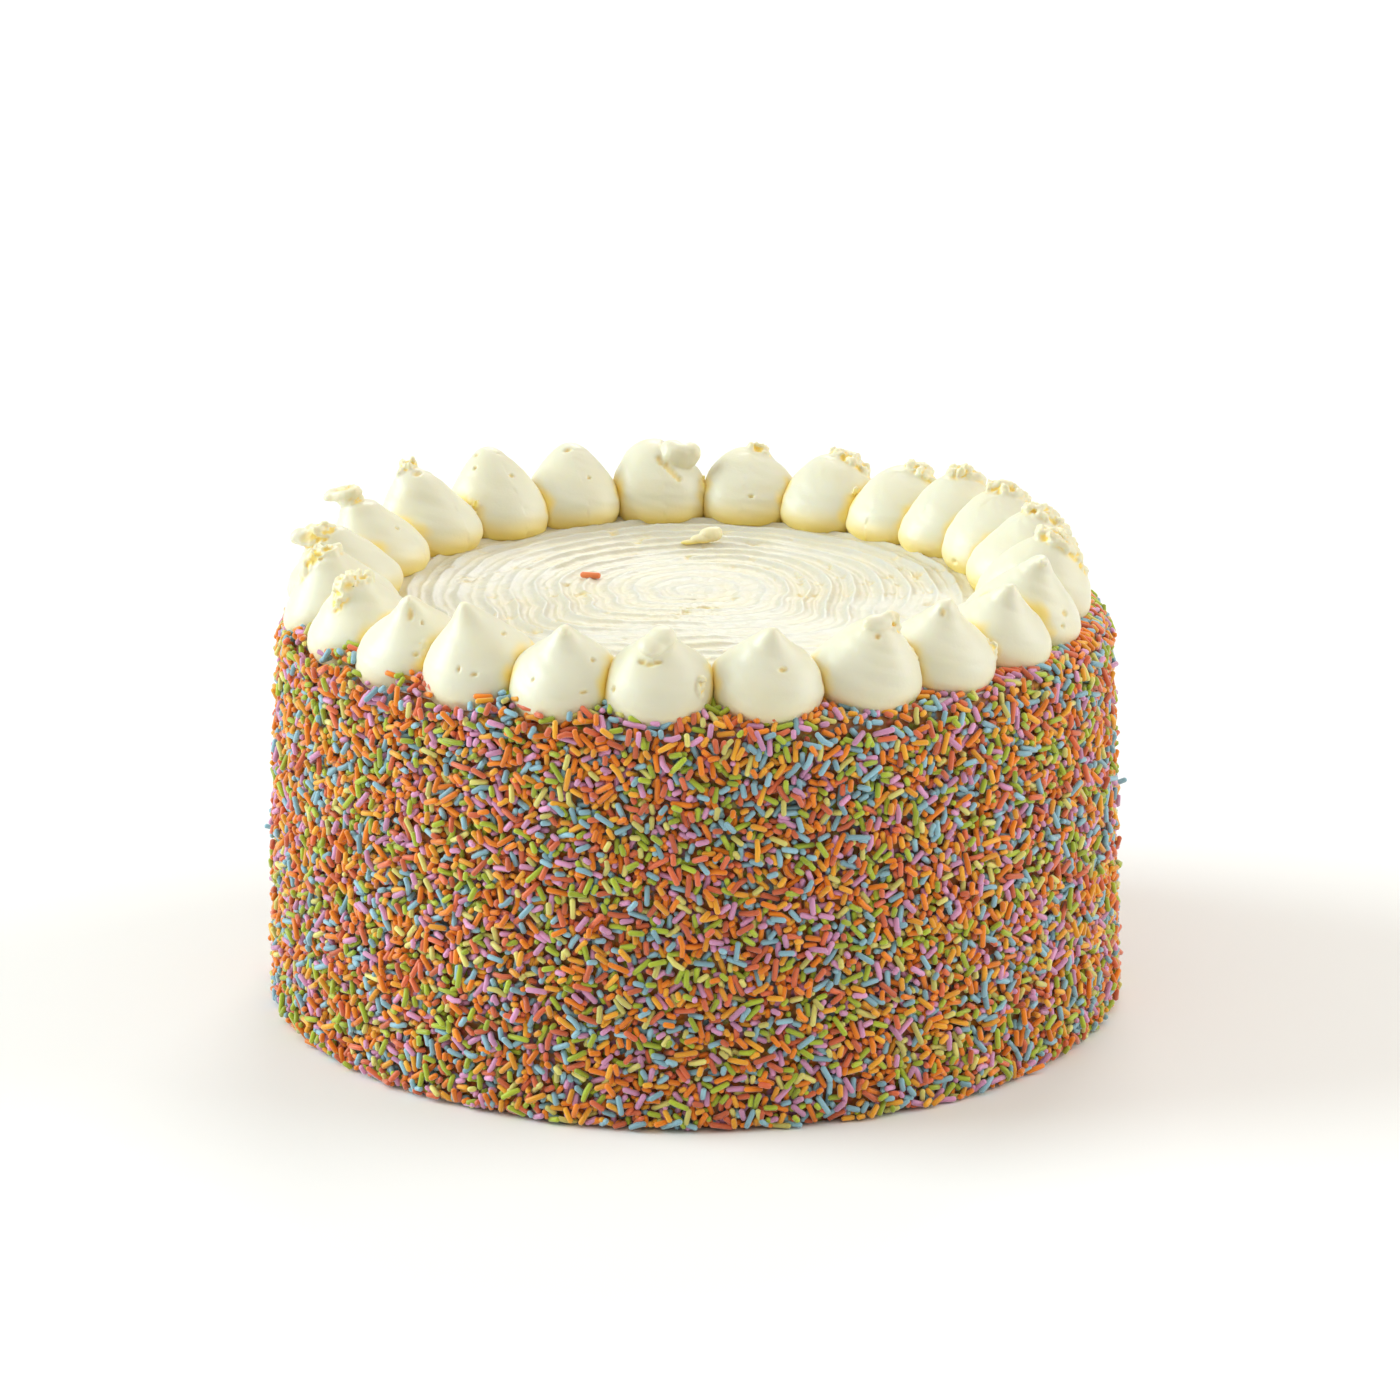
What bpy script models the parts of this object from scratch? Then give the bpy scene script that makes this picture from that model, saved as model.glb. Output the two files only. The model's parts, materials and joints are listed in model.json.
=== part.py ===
"""A round layer cake with rod sprinkles pressed into its side, combed buttercream on top and a ring of piped dollops.

Units are metres, +Z is up, and the origin is the centre of the flat underside. Azimuths are in degrees, counted
from the front (-Y) towards the right (+X).
"""

import math
import random

import bmesh
import bpy
from mathutils import Matrix, Vector

MM = 0.001
FIT_GAP = 0.3 * MM  # clearance between pieces that rest on each other

# Cake: the icing's surface under the sprinkles, wider at the base than at the shoulder
CAKE_HEIGHT = 98.0 * MM  # at the middle of the top, which falls a little towards the rim
RIM_FALL = 2.9 * MM
RIM_FALL_START = 78.0 * MM
RIM_RADIUS = 97.8 * MM
BASE_RADIUS = 102.9 * MM
SHOULDER_RADIUS = 99.4 * MM
TAPER_CURVE = 1.4
SHOULDER_ROUNDING = 1.6 * MM
UNDERSIDE_CHAMFER = 1.0 * MM
RIM_LEVEL = CAKE_HEIGHT - RIM_FALL
SIDE_TOP = RIM_LEVEL - SHOULDER_ROUNDING
CAKE_STEPS = 96
SIDE_ROWS = 15
BUMP_HEIGHT = 0.5 * MM  # crests and hollows of the packed sprinkles, either way of the mean surface
BUMP_WANDER = 0.9 * MM

# Rod sprinkles fused to the side
ROD_COUNT = 108
ROD_RADIUS = 0.72 * MM
ROD_LENGTHS = (5.0 * MM, 6.8 * MM)
ROD_SIDES = 5
ROD_TIP = 0.35 * MM
ROD_STAND_OFF = 0.4 * MM  # from the icing's mean surface to the rod's axis
ROD_TILT_DEG = 9.0
ROD_BAND = (4.5 * MM, 89.5 * MM)
GOLDEN_ANGLE_DEG = 137.508
ROD_SEED = 11

# Sprinkles that stick out of the side: azimuth, height, and angle above the horizon
STRAY_RODS = (
    (0.0, 33.0 * MM, 14.0),
    (90.0, 52.0 * MM, 22.0),
    (180.0, 44.0 * MM, 10.0),
    (270.0, 40.0 * MM, 16.0),
)
STRAY_REACH = 106.0 * MM
STRAY_LENGTH = 6.8 * MM

# Top icing: a disc set into the cake's shoulder, combed into rings
ICING_RADIUS = 96.4 * MM
ICING_DEPTH = 6.0 * MM
ICING_STEPS = 36
RIM_RINGS = 4
COMB_PITCH = 6.5 * MM
COMB_RISE = 0.45 * MM
COMB_FALL = 0.35 * MM
COMB_REACH = 64.5 * MM  # the comb marks end before the dollops' inner feet

# The one sprinkle that lies on the icing, and the dab of cream beside it
LOOSE_ROD_PLACE = (-25.7 * MM, 18.7 * MM)
LOOSE_ROD_LENGTH = 4.5 * MM
LOOSE_ROD_RISE = 0.27 * MM  # of its axis above the icing's mean level
LOOSE_ROD_TURN_DEG = -12.0
DAB_PLACE = (1.6 * MM, 49.5 * MM)
DAB_SIZE = (9.4 * MM, 5.6 * MM, 3.4 * MM)
DAB_TURN_DEG = 14.0
DAB_NARROWING = 0.38  # of the width, from the middle to either end of its length, wide end towards +X
DAB_THINNING = 0.45
DAB_CURL = 0.7 * MM

# Ring of piped dollops, a little off the cake's centre
RING_CENTRE = (-2.0 * MM, -1.0 * MM)
RING_RADIUS = 83.6 * MM
DOLLOP_LENGTH = 28.2 * MM  # along the cake's radius
DOLLOP_WIDTH = 27.8 * MM  # round the ring, before its neighbours press it in
DOLLOP_STEPS = 10
DOLLOP_SEED = 5
SQUEEZE_SHARPNESS = 9.0

# Half-section of a dollop as fractions of its half width and height, from the tip down to the foot
SHARED_BELLY = ((0.92, 0.37), (1.0, 0.20), (0.975, 0.07), (0.86, 0.0), (0.45, 0.0), (0.0, 0.0))
PEAKED_SECTION = ((0.0, 1.0), (0.12, 0.93), (0.31, 0.78), (0.67, 0.56), *SHARED_BELLY)
BLUNT_SECTION = ((0.0, 1.0), (0.24, 0.97), (0.45, 0.85), (0.73, 0.61), *SHARED_BELLY)
TORN_JITTER = 1.0 * MM

# Each dollop: azimuth of its foot, height, how far its tip leans outward and round the ring, and how it was left
DOLLOPS = (
    (-4.4, 19.2 * MM, 5.4 * MM, 1.2 * MM, "hooded"),
    (12.4, 18.2 * MM, 5.8 * MM, 0.4 * MM, "peaked"),
    (29.0, 18.6 * MM, 5.4 * MM, 1.6 * MM, "torn"),
    (43.6, 18.6 * MM, 5.8 * MM, -2.2 * MM, "peaked"),
    (59.0, 17.6 * MM, 6.6 * MM, -3.8 * MM, "peaked"),
    (71.6, 19.6 * MM, 6.0 * MM, -3.4 * MM, "hooked"),
    (85.8, 18.6 * MM, 5.0 * MM, 0.4 * MM, "torn"),
    (100.2, 18.2 * MM, 4.4 * MM, 2.4 * MM, "torn"),
    (113.4, 18.4 * MM, 3.4 * MM, 4.6 * MM, "torn"),
    (126.9, 18.4 * MM, 3.8 * MM, 1.6 * MM, "torn"),
    (140.2, 16.2 * MM, 4.6 * MM, 1.0 * MM, "flap"),
    (154.2, 16.2 * MM, 4.2 * MM, 0.8 * MM, "flap"),
    (168.8, 15.8 * MM, 3.6 * MM, 1.6 * MM, "blunt"),
    (184.8, 17.9 * MM, 4.0 * MM, 2.0 * MM, "curl"),
    (201.0, 18.2 * MM, 4.0 * MM, -1.4 * MM, "blunt"),
    (215.6, 19.8 * MM, 4.0 * MM, 0.0 * MM, "blunt"),
    (231.4, 19.6 * MM, 4.0 * MM, 2.2 * MM, "torn"),
    (247.8, 19.2 * MM, 4.6 * MM, 2.6 * MM, "outward_curl"),
    (263.8, 17.8 * MM, 5.0 * MM, 4.0 * MM, "outward_curl"),
    (279.6, 18.4 * MM, 5.6 * MM, 2.4 * MM, "torn"),
    (295.4, 18.4 * MM, 5.4 * MM, 4.2 * MM, "torn"),
    (311.2, 18.6 * MM, 5.2 * MM, 4.0 * MM, "peaked"),
    (326.2, 20.4 * MM, 5.4 * MM, -1.8 * MM, "peaked"),
    (341.0, 18.4 * MM, 5.4 * MM, 1.6 * MM, "peaked"),
)
PEAKED_TIPS = ("peaked", "hooked", "hooded")
RAGGED_TIPS = ("torn", "flap")

# Folds and flaps of cream at a tip: place as (round the ring, outward, up) from the tip, and half sizes
TIP_LOBES = {
    "hooded": ((-0.5 * MM, 0.6 * MM, -1.9 * MM), (3.9 * MM, 3.7 * MM, 2.3 * MM)),
    "hooked": ((-1.4 * MM, 0.8 * MM, -0.9 * MM), (1.9 * MM, 1.3 * MM, 1.1 * MM)),
    "flap": ((-4.0 * MM, 1.8 * MM, -1.6 * MM), (3.7 * MM, 2.4 * MM, 2.1 * MM)),
    "curl": ((-5.6 * MM, 0.5 * MM, -1.6 * MM), (4.4 * MM, 2.6 * MM, 2.6 * MM)),
    "outward_curl": ((0.0 * MM, 2.6 * MM, 0.0 * MM), (3.0 * MM, 4.0 * MM, 1.6 * MM)),
}
LOBE_SEGMENTS = 6
LOBE_RINGS = 5


def clear_scene():
    for old in list(bpy.data.objects):
        bpy.data.objects.remove(old, do_unlink=True)


def food_material(name, colour, roughness):
    material = bpy.data.materials.new(name)
    material.use_nodes = True
    shader = material.node_tree.nodes["Principled BSDF"]
    shader.inputs["Base Color"].default_value = (*colour, 1.0)
    shader.inputs["Roughness"].default_value = roughness
    shader.inputs["Metallic"].default_value = 0.0
    return material


def add_object(name, mesh, collection):
    """A new object for a mesh, in a collection."""
    made = bpy.data.objects.new(name, mesh)
    collection.objects.link(made)
    return made


def finish(obj, material):
    obj.data.materials.clear()
    obj.data.materials.append(material)
    obj.data.shade_smooth()
    obj.data.set_sharp_from_angle(angle=math.radians(50))
    return obj


def baked(obj):
    """The object with its modifiers made part of its mesh."""
    bpy.context.view_layer.update()
    evaluated = obj.evaluated_get(bpy.context.evaluated_depsgraph_get())
    mesh = bpy.data.meshes.new_from_object(evaluated)
    obj.modifiers.clear()
    obj.data = mesh
    return obj


def lathe(name, profile, steps, collection):
    """Turns a profile of (radius, height) points about the Z axis. It runs down the outer side, top to bottom."""
    mesh = bpy.data.meshes.new(name)
    points = [(radius, 0.0, height) for radius, height in profile]
    mesh.from_pydata(points, [(i, i + 1) for i in range(len(points) - 1)], [])
    obj = add_object(name, mesh, collection)
    screw = obj.modifiers.new("turn", "SCREW")
    screw.axis = "Z"
    screw.steps = steps
    screw.render_steps = steps
    screw.use_merge_vertices = True
    screw.merge_threshold = 0.00001
    return baked(obj)


def seal(mesh):
    """Caps any open ring with one flat face, and turns every face outward."""
    cage = bmesh.new()
    cage.from_mesh(mesh)
    bmesh.ops.holes_fill(cage, edges=cage.edges, sides=0)
    bmesh.ops.recalc_face_normals(cage, faces=cage.faces)
    cage.to_mesh(mesh)
    cage.free()


def icing_level(radius):
    """Height of the top icing at a distance from the axis: level in the middle and falling towards the rim."""
    share = max(radius - RIM_FALL_START, 0.0) / (RIM_RADIUS - RIM_FALL_START)
    return CAKE_HEIGHT - RIM_FALL * share**2


def side_radius(height):
    """Radius of the icing under the sprinkles at a height: wide at the base and narrowing to the shoulder."""
    share = height / CAKE_HEIGHT
    return BASE_RADIUS + (SHOULDER_RADIUS - BASE_RADIUS) * share**TAPER_CURVE


def outward(azimuth_deg):
    turn = math.radians(azimuth_deg)
    return Vector((math.sin(turn), -math.cos(turn), 0.0))


def around(azimuth_deg):
    turn = math.radians(azimuth_deg)
    return Vector((math.cos(turn), math.sin(turn), 0.0))


def cake_profile():
    """Recess for the icing, flat rim, rounded shoulder, side and chamfered underside."""
    recess_radius = ICING_RADIUS + FIT_GAP
    recess_floor = CAKE_HEIGHT - ICING_DEPTH - FIT_GAP
    side_bottom = UNDERSIDE_CHAMFER
    profile = [(recess_radius, recess_floor), (recess_radius, RIM_LEVEL), (RIM_RADIUS, RIM_LEVEL)]
    for row in range(SIDE_ROWS):
        height = SIDE_TOP + (side_bottom - SIDE_TOP) * row / (SIDE_ROWS - 1)
        profile.append((side_radius(height), height))
    profile.append((BASE_RADIUS - UNDERSIDE_CHAMFER, 0.0))
    return profile


def pack_bumps(mesh, draw):
    """Shifts the side's points in and out, and a little along the side, so that it reads as packed sprinkles."""
    for vertex in mesh.vertices:
        radius = vertex.co.xy.length
        on_side = radius > side_radius(vertex.co.z) - UNDERSIDE_CHAMFER / 2
        if not on_side or vertex.co.z < UNDERSIDE_CHAMFER / 2:
            continue
        azimuth = math.atan2(vertex.co.x, -vertex.co.y) + draw.uniform(-1, 1) * BUMP_WANDER / radius
        radius += draw.uniform(-1, 1) * BUMP_HEIGHT
        lift = draw.uniform(-1, 1) * BUMP_WANDER
        height = min(max(vertex.co.z + lift, UNDERSIDE_CHAMFER), SIDE_TOP)
        vertex.co = outward(math.degrees(azimuth)) * radius + Vector((0.0, 0.0, height))


def rod_mesh(length):
    """One rod sprinkle along X, with low pointed ends."""
    shape = bmesh.new()
    bmesh.ops.create_cone(
        shape, cap_ends=True, segments=ROD_SIDES, radius1=ROD_RADIUS, radius2=ROD_RADIUS, depth=length - 2 * ROD_TIP
    )
    ends = [face for face in shape.faces if abs(face.normal.z) > 0.9]
    bmesh.ops.poke(shape, faces=ends, offset=ROD_TIP)
    bmesh.ops.rotate(shape, verts=shape.verts, matrix=Matrix.Rotation(math.radians(90), 3, "Y"))
    mesh = bpy.data.meshes.new("rod")
    shape.to_mesh(mesh)
    shape.free()
    return mesh


def place_rod(name, length, centre, along, collection):
    rod = add_object(name, rod_mesh(length), collection)
    turn = along.normalized().to_track_quat("X", "Z").to_matrix().to_4x4()
    rod.data.transform(Matrix.Translation(centre) @ turn)


def scatter_rods(collection, draw):
    """Rods lie on the side at golden-angle steps up the cake, so they are evenly spread, each turned its own way."""
    low, high = ROD_BAND
    for i in range(ROD_COUNT):
        height = low + (high - low) * (i + 0.5) / ROD_COUNT
        azimuth = i * GOLDEN_ANGLE_DEG + draw.uniform(-1.0, 1.0)
        length = draw.uniform(*ROD_LENGTHS)
        turn = draw.uniform(0.0, math.pi)
        tilt = math.radians(draw.uniform(-ROD_TILT_DEG, ROD_TILT_DEG))
        flat = around(azimuth) * math.cos(turn) + Vector((0.0, 0.0, math.sin(turn)))
        along = flat * math.cos(tilt) + outward(azimuth) * math.sin(tilt)
        centre = outward(azimuth) * (side_radius(height) + ROD_STAND_OFF) + Vector((0.0, 0.0, height))
        place_rod("rod", length, centre, along, collection)
    for azimuth, height, rise_deg in STRAY_RODS:
        rise = math.radians(rise_deg)
        along = outward(azimuth) * math.cos(rise) + Vector((0.0, 0.0, math.sin(rise)))
        tip = outward(azimuth) * STRAY_REACH + Vector((0.0, 0.0, height))
        place_rod("stray_rod", STRAY_LENGTH, tip - along * (STRAY_LENGTH / 2), along, collection)


def keep_main_body(mesh):
    """Drops loose scraps and fills the hollows that fusing sealed, by keeping only the largest shell."""
    cage = bmesh.new()
    cage.from_mesh(mesh)
    unseen = set(cage.verts)
    shells = []
    while unseen:
        start = unseen.pop()
        shell = [start]
        front = [start]
        while front:
            here = front.pop()
            neighbours = {edge.other_vert(here) for edge in here.link_edges} & unseen
            unseen -= neighbours
            shell.extend(neighbours)
            front.extend(neighbours)
        shells.append(shell)
    shells.sort(key=len)
    for shell in shells[:-1]:
        bmesh.ops.delete(cage, geom=shell, context="VERTS")
    cage.to_mesh(mesh)
    cage.free()


def join_all(obj, collection):
    """One union of the object with everything in the collection, which is then removed."""
    union = obj.modifiers.new("join", "BOOLEAN")
    union.operation = "UNION"
    union.operand_type = "COLLECTION"
    union.collection = collection
    union.solver = "EXACT"
    baked(obj)
    keep_main_body(obj.data)
    for piece in list(collection.objects):
        bpy.data.objects.remove(piece, do_unlink=True)
    bpy.data.collections.remove(collection)
    return obj


def helper_collection(name):
    collection = bpy.data.collections.new(name)
    bpy.context.scene.collection.children.link(collection)
    return collection


def sprinkled_cake(collection, material):
    """The uncut cake with its side icing, one solid, with the largest sprinkles fused to it."""
    draw = random.Random(ROD_SEED)
    cake = lathe("sprinkled_cake", cake_profile(), CAKE_STEPS, collection)
    seal(cake.data)
    pack_bumps(cake.data, draw)
    rods = helper_collection("side_rods")
    scatter_rods(rods, draw)
    join_all(cake, rods)
    return finish(cake, material)


def icing_profile():
    """Combed rings, the level stretch under the dollops, the fall to the edge, and the disc's flat underside."""
    profile = [(0.0, CAKE_HEIGHT + COMB_RISE)]
    half_pitch = COMB_PITCH / 2
    for step in range(1, int(COMB_REACH / half_pitch)):
        relief = COMB_RISE if step % 2 == 0 else -COMB_FALL
        profile.append((step * half_pitch, CAKE_HEIGHT + relief))
    profile.append((COMB_REACH, CAKE_HEIGHT))
    for step in range(RIM_RINGS + 1):
        radius = RIM_FALL_START + (ICING_RADIUS - RIM_FALL_START) * step / RIM_RINGS
        profile.append((radius, icing_level(radius)))
    floor = CAKE_HEIGHT - ICING_DEPTH
    profile += [(ICING_RADIUS, floor), (0.0, floor)]
    return profile


def top_icing(collection, material):
    """The combed buttercream on top, with the one stray sprinkle that lies on it."""
    icing = lathe("top_icing", icing_profile(), ICING_STEPS, collection)
    rods = helper_collection("top_rods")
    along = Matrix.Rotation(math.radians(LOOSE_ROD_TURN_DEG), 3, "Z") @ Vector((1.0, 0.0, 0.0))
    centre = Vector((*LOOSE_ROD_PLACE, CAKE_HEIGHT + LOOSE_ROD_RISE))
    place_rod("loose_rod", LOOSE_ROD_LENGTH, centre, along, rods)
    join_all(icing, rods)
    return finish(icing, material)


def cream_dab(collection, material):
    """The small curl of cream dropped near the back of the icing."""
    shape = bmesh.new()
    bmesh.ops.create_uvsphere(shape, u_segments=10, v_segments=6, radius=0.5)
    bmesh.ops.scale(shape, verts=shape.verts, vec=DAB_SIZE)
    for vertex in shape.verts:
        reach = vertex.co.x / (DAB_SIZE[0] / 2)
        vertex.co.y *= 1 + DAB_NARROWING * (reach - 1)
        vertex.co.z = vertex.co.z * (1 + DAB_THINNING * (reach - 1)) + DAB_CURL * max(reach, 0.0)
    mesh = bpy.data.meshes.new("cream_dab")
    shape.to_mesh(mesh)
    shape.free()
    lowest = min(vertex.co.z for vertex in mesh.vertices)
    rest = CAKE_HEIGHT + COMB_RISE + FIT_GAP
    turn = Matrix.Rotation(math.radians(DAB_TURN_DEG), 4, "Z")
    mesh.transform(Matrix.Translation((*DAB_PLACE, rest - lowest)) @ turn)
    return finish(add_object("cream_dab", mesh, collection), material)


def soft_limit(value, limit):
    """The value, eased so that it never passes the limit, the way soft cream flattens against its neighbour."""
    share = abs(value) / limit
    return math.copysign(limit * share / (1 + share**SQUEEZE_SHARPNESS) ** (1 / SQUEEZE_SHARPNESS), value)


def room_of(number):
    """Half the angles between a dollop and the neighbours before and after it."""
    azimuth = DOLLOPS[number][0]
    before = (azimuth - DOLLOPS[number - 1][0]) % 360
    after = (DOLLOPS[(number + 1) % len(DOLLOPS)][0] - azimuth) % 360
    return before / 2, after / 2


def dollop_point(number, round_ring, out, up):
    """A point of a dollop in the cake's frame, resting on the icing and pressed in where its neighbours begin."""
    azimuth = DOLLOPS[number][0]
    before, after = room_of(number)
    side = before if round_ring < 0 else after
    limit = (RING_RADIUS + out) * math.tan(math.radians(side)) - FIT_GAP / 2
    point = Vector((*RING_CENTRE, 0.0))
    point += outward(azimuth) * (RING_RADIUS + out) + around(azimuth) * soft_limit(round_ring, limit)
    point.z = icing_level(point.length) + FIT_GAP + up
    return point


def dollop(number, collection, material):
    """One piped dollop: a turned bulb drawn up to a leaning tip, and pressed between its neighbours."""
    draw = random.Random(DOLLOP_SEED + number)
    height, lean_out, lean_round, tip = DOLLOPS[number][1:]
    section = PEAKED_SECTION if tip in PEAKED_TIPS else BLUNT_SECTION
    profile = [(radius * DOLLOP_LENGTH / 2, up * height) for radius, up in section]
    obj = lathe(f"dollop_{number + 1:02d}", profile, DOLLOP_STEPS, collection)
    for vertex in obj.data.vertices:
        rise = vertex.co.z / height
        round_ring = vertex.co.x * DOLLOP_WIDTH / DOLLOP_LENGTH + lean_round * rise**2
        out = vertex.co.y + lean_out * rise**2
        up = vertex.co.z
        if tip in RAGGED_TIPS and rise > 0.75:
            up += draw.uniform(-1, 1) * TORN_JITTER
            out += draw.uniform(-1, 1) * TORN_JITTER
        vertex.co = dollop_point(number, round_ring, out, up)
    seal(obj.data)
    if tip in TIP_LOBES:
        lobes = helper_collection("tip_lobes")
        tip_lobe(number, lobes)
        join_all(obj, lobes)
    return finish(obj, material)


def tip_lobe(number, collection):
    """The fold of cream that the nozzle left beside a tip, as one soft lobe to be joined to its dollop."""
    height, lean_out, lean_round, tip = DOLLOPS[number][1:]
    place, half_sizes = TIP_LOBES[tip]
    shape = bmesh.new()
    bmesh.ops.create_uvsphere(shape, u_segments=LOBE_SEGMENTS, v_segments=LOBE_RINGS, radius=1.0)
    for vertex in shape.verts:
        round_ring, out, up = (place[i] + vertex.co[i] * half_sizes[i] for i in range(3))
        vertex.co = dollop_point(number, round_ring + lean_round, out + lean_out, up + height)
    mesh = bpy.data.meshes.new("tip_lobe")
    shape.to_mesh(mesh)
    shape.free()
    seal(mesh)
    add_object("tip_lobe", mesh, collection)


def build():
    clear_scene()
    cake = helper_collection("sprinkle_cake")
    sprinkle_coat = food_material("sprinkle_coat", (0.62, 0.36, 0.16), 0.5)
    buttercream = food_material("buttercream", (0.88, 0.82, 0.58), 0.5)
    piped_cream = food_material("piped_cream", (0.90, 0.84, 0.60), 0.45)
    sprinkled_cake(cake, sprinkle_coat)
    top_icing(cake, buttercream)
    cream_dab(cake, piped_cream)
    for number in range(len(DOLLOPS)):
        dollop(number, cake, piped_cream)


build()
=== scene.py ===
"""The finished look of a round layer cake: rod sprinkles, combed buttercream and a ring of dollops.

The file is laid out as an add-on and run as a script. Lengths are in metres and +Z is up. Azimuths are
in degrees from the front (-Y) towards the right (+X).
"""

import json
import math
import random

import bmesh
import bpy
import numpy as np
from bpy.props import FloatProperty, FloatVectorProperty, IntProperty, PointerProperty
from bpy.types import Operator, Panel, PropertyGroup
from mathutils import Euler, Matrix, Vector, noise

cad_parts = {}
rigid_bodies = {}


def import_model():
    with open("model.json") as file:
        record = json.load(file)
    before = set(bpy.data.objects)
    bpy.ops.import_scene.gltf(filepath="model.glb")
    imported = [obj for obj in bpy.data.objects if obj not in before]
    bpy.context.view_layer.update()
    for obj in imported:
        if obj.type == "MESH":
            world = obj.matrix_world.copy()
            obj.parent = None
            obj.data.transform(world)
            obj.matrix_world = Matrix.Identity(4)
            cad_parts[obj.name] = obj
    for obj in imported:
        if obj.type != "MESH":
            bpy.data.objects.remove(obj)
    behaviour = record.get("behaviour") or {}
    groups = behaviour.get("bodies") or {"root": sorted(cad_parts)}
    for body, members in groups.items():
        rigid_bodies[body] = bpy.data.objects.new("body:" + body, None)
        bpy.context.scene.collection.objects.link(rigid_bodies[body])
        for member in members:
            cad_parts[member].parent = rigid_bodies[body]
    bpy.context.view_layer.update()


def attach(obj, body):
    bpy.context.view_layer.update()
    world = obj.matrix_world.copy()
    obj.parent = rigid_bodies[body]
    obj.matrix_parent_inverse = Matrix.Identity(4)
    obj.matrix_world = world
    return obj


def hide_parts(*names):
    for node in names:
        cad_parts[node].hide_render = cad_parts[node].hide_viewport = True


bl_info = {
    "name": "Sprinkle Cake",
    "version": (1, 0, 0),
    "blender": (4, 5, 0),
    "location": "View3D > Sidebar > Cake",
    "description": "Builds a round layer cake with rod sprinkles, combed buttercream and piped dollops",
    "category": "Object",
}

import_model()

MM = 0.001
BODY = "root"
START_OBJECTS = ("Cube", "Light", "Camera")  # that an empty file holds

# Form of the cake's solids, repeated from the part's own sizes
CAKE_HEIGHT = 98.0 * MM
RIM_FALL = 2.9 * MM
RIM_FALL_START = 78.0 * MM
RIM_RADIUS = 97.8 * MM
BASE_RADIUS = 102.9 * MM
SHOULDER_RADIUS = 99.4 * MM
TAPER_CURVE = 1.4
SHOULDER_ROUNDING = 1.6 * MM
SIDE_TOP = CAKE_HEIGHT - RIM_FALL - SHOULDER_ROUNDING
ICING_RADIUS = 96.4 * MM
ICING_DEPTH = 6.0 * MM
BED_INNER_END = 88.0 * MM  # radius up to which the bed's skin follows the rim
BED_TOP_DEPTH = 5.0 * MM  # of the bed's middle, under the icing
UP = np.array([0.0, 0.0, 1.0])

RING_CENTRE = (-2.0 * MM, -1.0 * MM)
RING_RADIUS = 83.6 * MM
DOLLOP_LENGTH = 28.2 * MM
DOLLOP_WIDTH = 27.8 * MM
SQUEEZE_SHARPNESS = 12.0
SEAM_OVERLAP = 0.7 * MM
FOOT_SINK = 0.9 * MM

# Each dollop: azimuth of its foot, height, how far its tip leans outward and round the ring, and kind of tip
DOLLOPS = (
    (-4.4, 19.2 * MM, 5.4 * MM, 1.2 * MM, "hooded"),
    (12.4, 18.2 * MM, 5.8 * MM, 0.4 * MM, "peaked"),
    (29.0, 18.6 * MM, 5.4 * MM, 1.6 * MM, "broken"),
    (43.6, 18.6 * MM, 5.8 * MM, -2.2 * MM, "nicked"),
    (59.0, 17.6 * MM, 6.6 * MM, -3.8 * MM, "pointed"),
    (71.6, 19.6 * MM, 6.0 * MM, -3.4 * MM, "hooked"),
    (85.8, 18.6 * MM, 5.0 * MM, 0.4 * MM, "torn"),
    (100.2, 18.2 * MM, 4.4 * MM, 2.4 * MM, "torn"),
    (113.4, 18.4 * MM, 3.4 * MM, 4.6 * MM, "torn"),
    (126.9, 18.4 * MM, 3.8 * MM, 1.6 * MM, "torn"),
    (140.2, 16.2 * MM, 4.6 * MM, 1.0 * MM, "flap"),
    (154.2, 16.2 * MM, 4.2 * MM, 0.8 * MM, "flap"),
    (168.8, 15.8 * MM, 3.6 * MM, 1.6 * MM, "round"),
    (184.8, 17.9 * MM, 4.0 * MM, 2.4 * MM, "curl"),
    (201.0, 18.2 * MM, 4.0 * MM, -1.4 * MM, "blunt"),
    (215.6, 19.8 * MM, 4.0 * MM, 0.0 * MM, "blunt"),
    (231.4, 19.6 * MM, 4.0 * MM, 2.2 * MM, "chipped"),
    (247.8, 19.2 * MM, 4.6 * MM, 2.6 * MM, "outward_curl"),
    (263.8, 17.8 * MM, 5.0 * MM, 4.0 * MM, "cupped"),
    (279.6, 18.4 * MM, 5.6 * MM, 2.4 * MM, "crumbled"),
    (295.4, 18.4 * MM, 5.4 * MM, 4.2 * MM, "crumbled"),
    (311.2, 18.6 * MM, 5.2 * MM, 4.0 * MM, "pointed"),
    (326.2, 20.4 * MM, 5.4 * MM, -1.8 * MM, "peaked"),
    (341.0, 18.4 * MM, 5.4 * MM, 1.6 * MM, "soft_peak"),
)

# Half-sections of a dollop as fractions of its half width and height, from the foot up to the tip
BELLY = ((0.86, 0.0), (0.93, 0.025), (0.98, 0.08), (1.0, 0.15), (0.995, 0.22), (0.96, 0.31))
PEAKED_FLANK = ((0.885, 0.40), (0.79, 0.48), (0.67, 0.56), (0.54, 0.64), (0.415, 0.715), (0.31, 0.785))
PEAKED_TOP = ((0.23, 0.85), (0.165, 0.91), (0.11, 0.955), (0.06, 0.985))
STEEP_FLANK = ((0.90, 0.39), (0.83, 0.46), (0.755, 0.53), (0.68, 0.60), (0.60, 0.67), (0.52, 0.74))
CONE_TOP = ((0.43, 0.81), (0.34, 0.875), (0.25, 0.93), (0.17, 0.97), (0.08, 0.993))
STUMP_TOP = ((0.44, 0.81), (0.38, 0.875), (0.33, 0.93), (0.26, 0.965), (0.13, 0.985))
DOME_FLANK = ((0.925, 0.40), (0.88, 0.46), (0.80, 0.56), (0.70, 0.66), (0.58, 0.76), (0.46, 0.85))
DOME_TOP = ((0.33, 0.92), (0.22, 0.965), (0.10, 0.993))
PEAKED_TIPS = ("peaked", "soft_peak", "hooded", "nicked", "pointed", "hooked")
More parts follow.
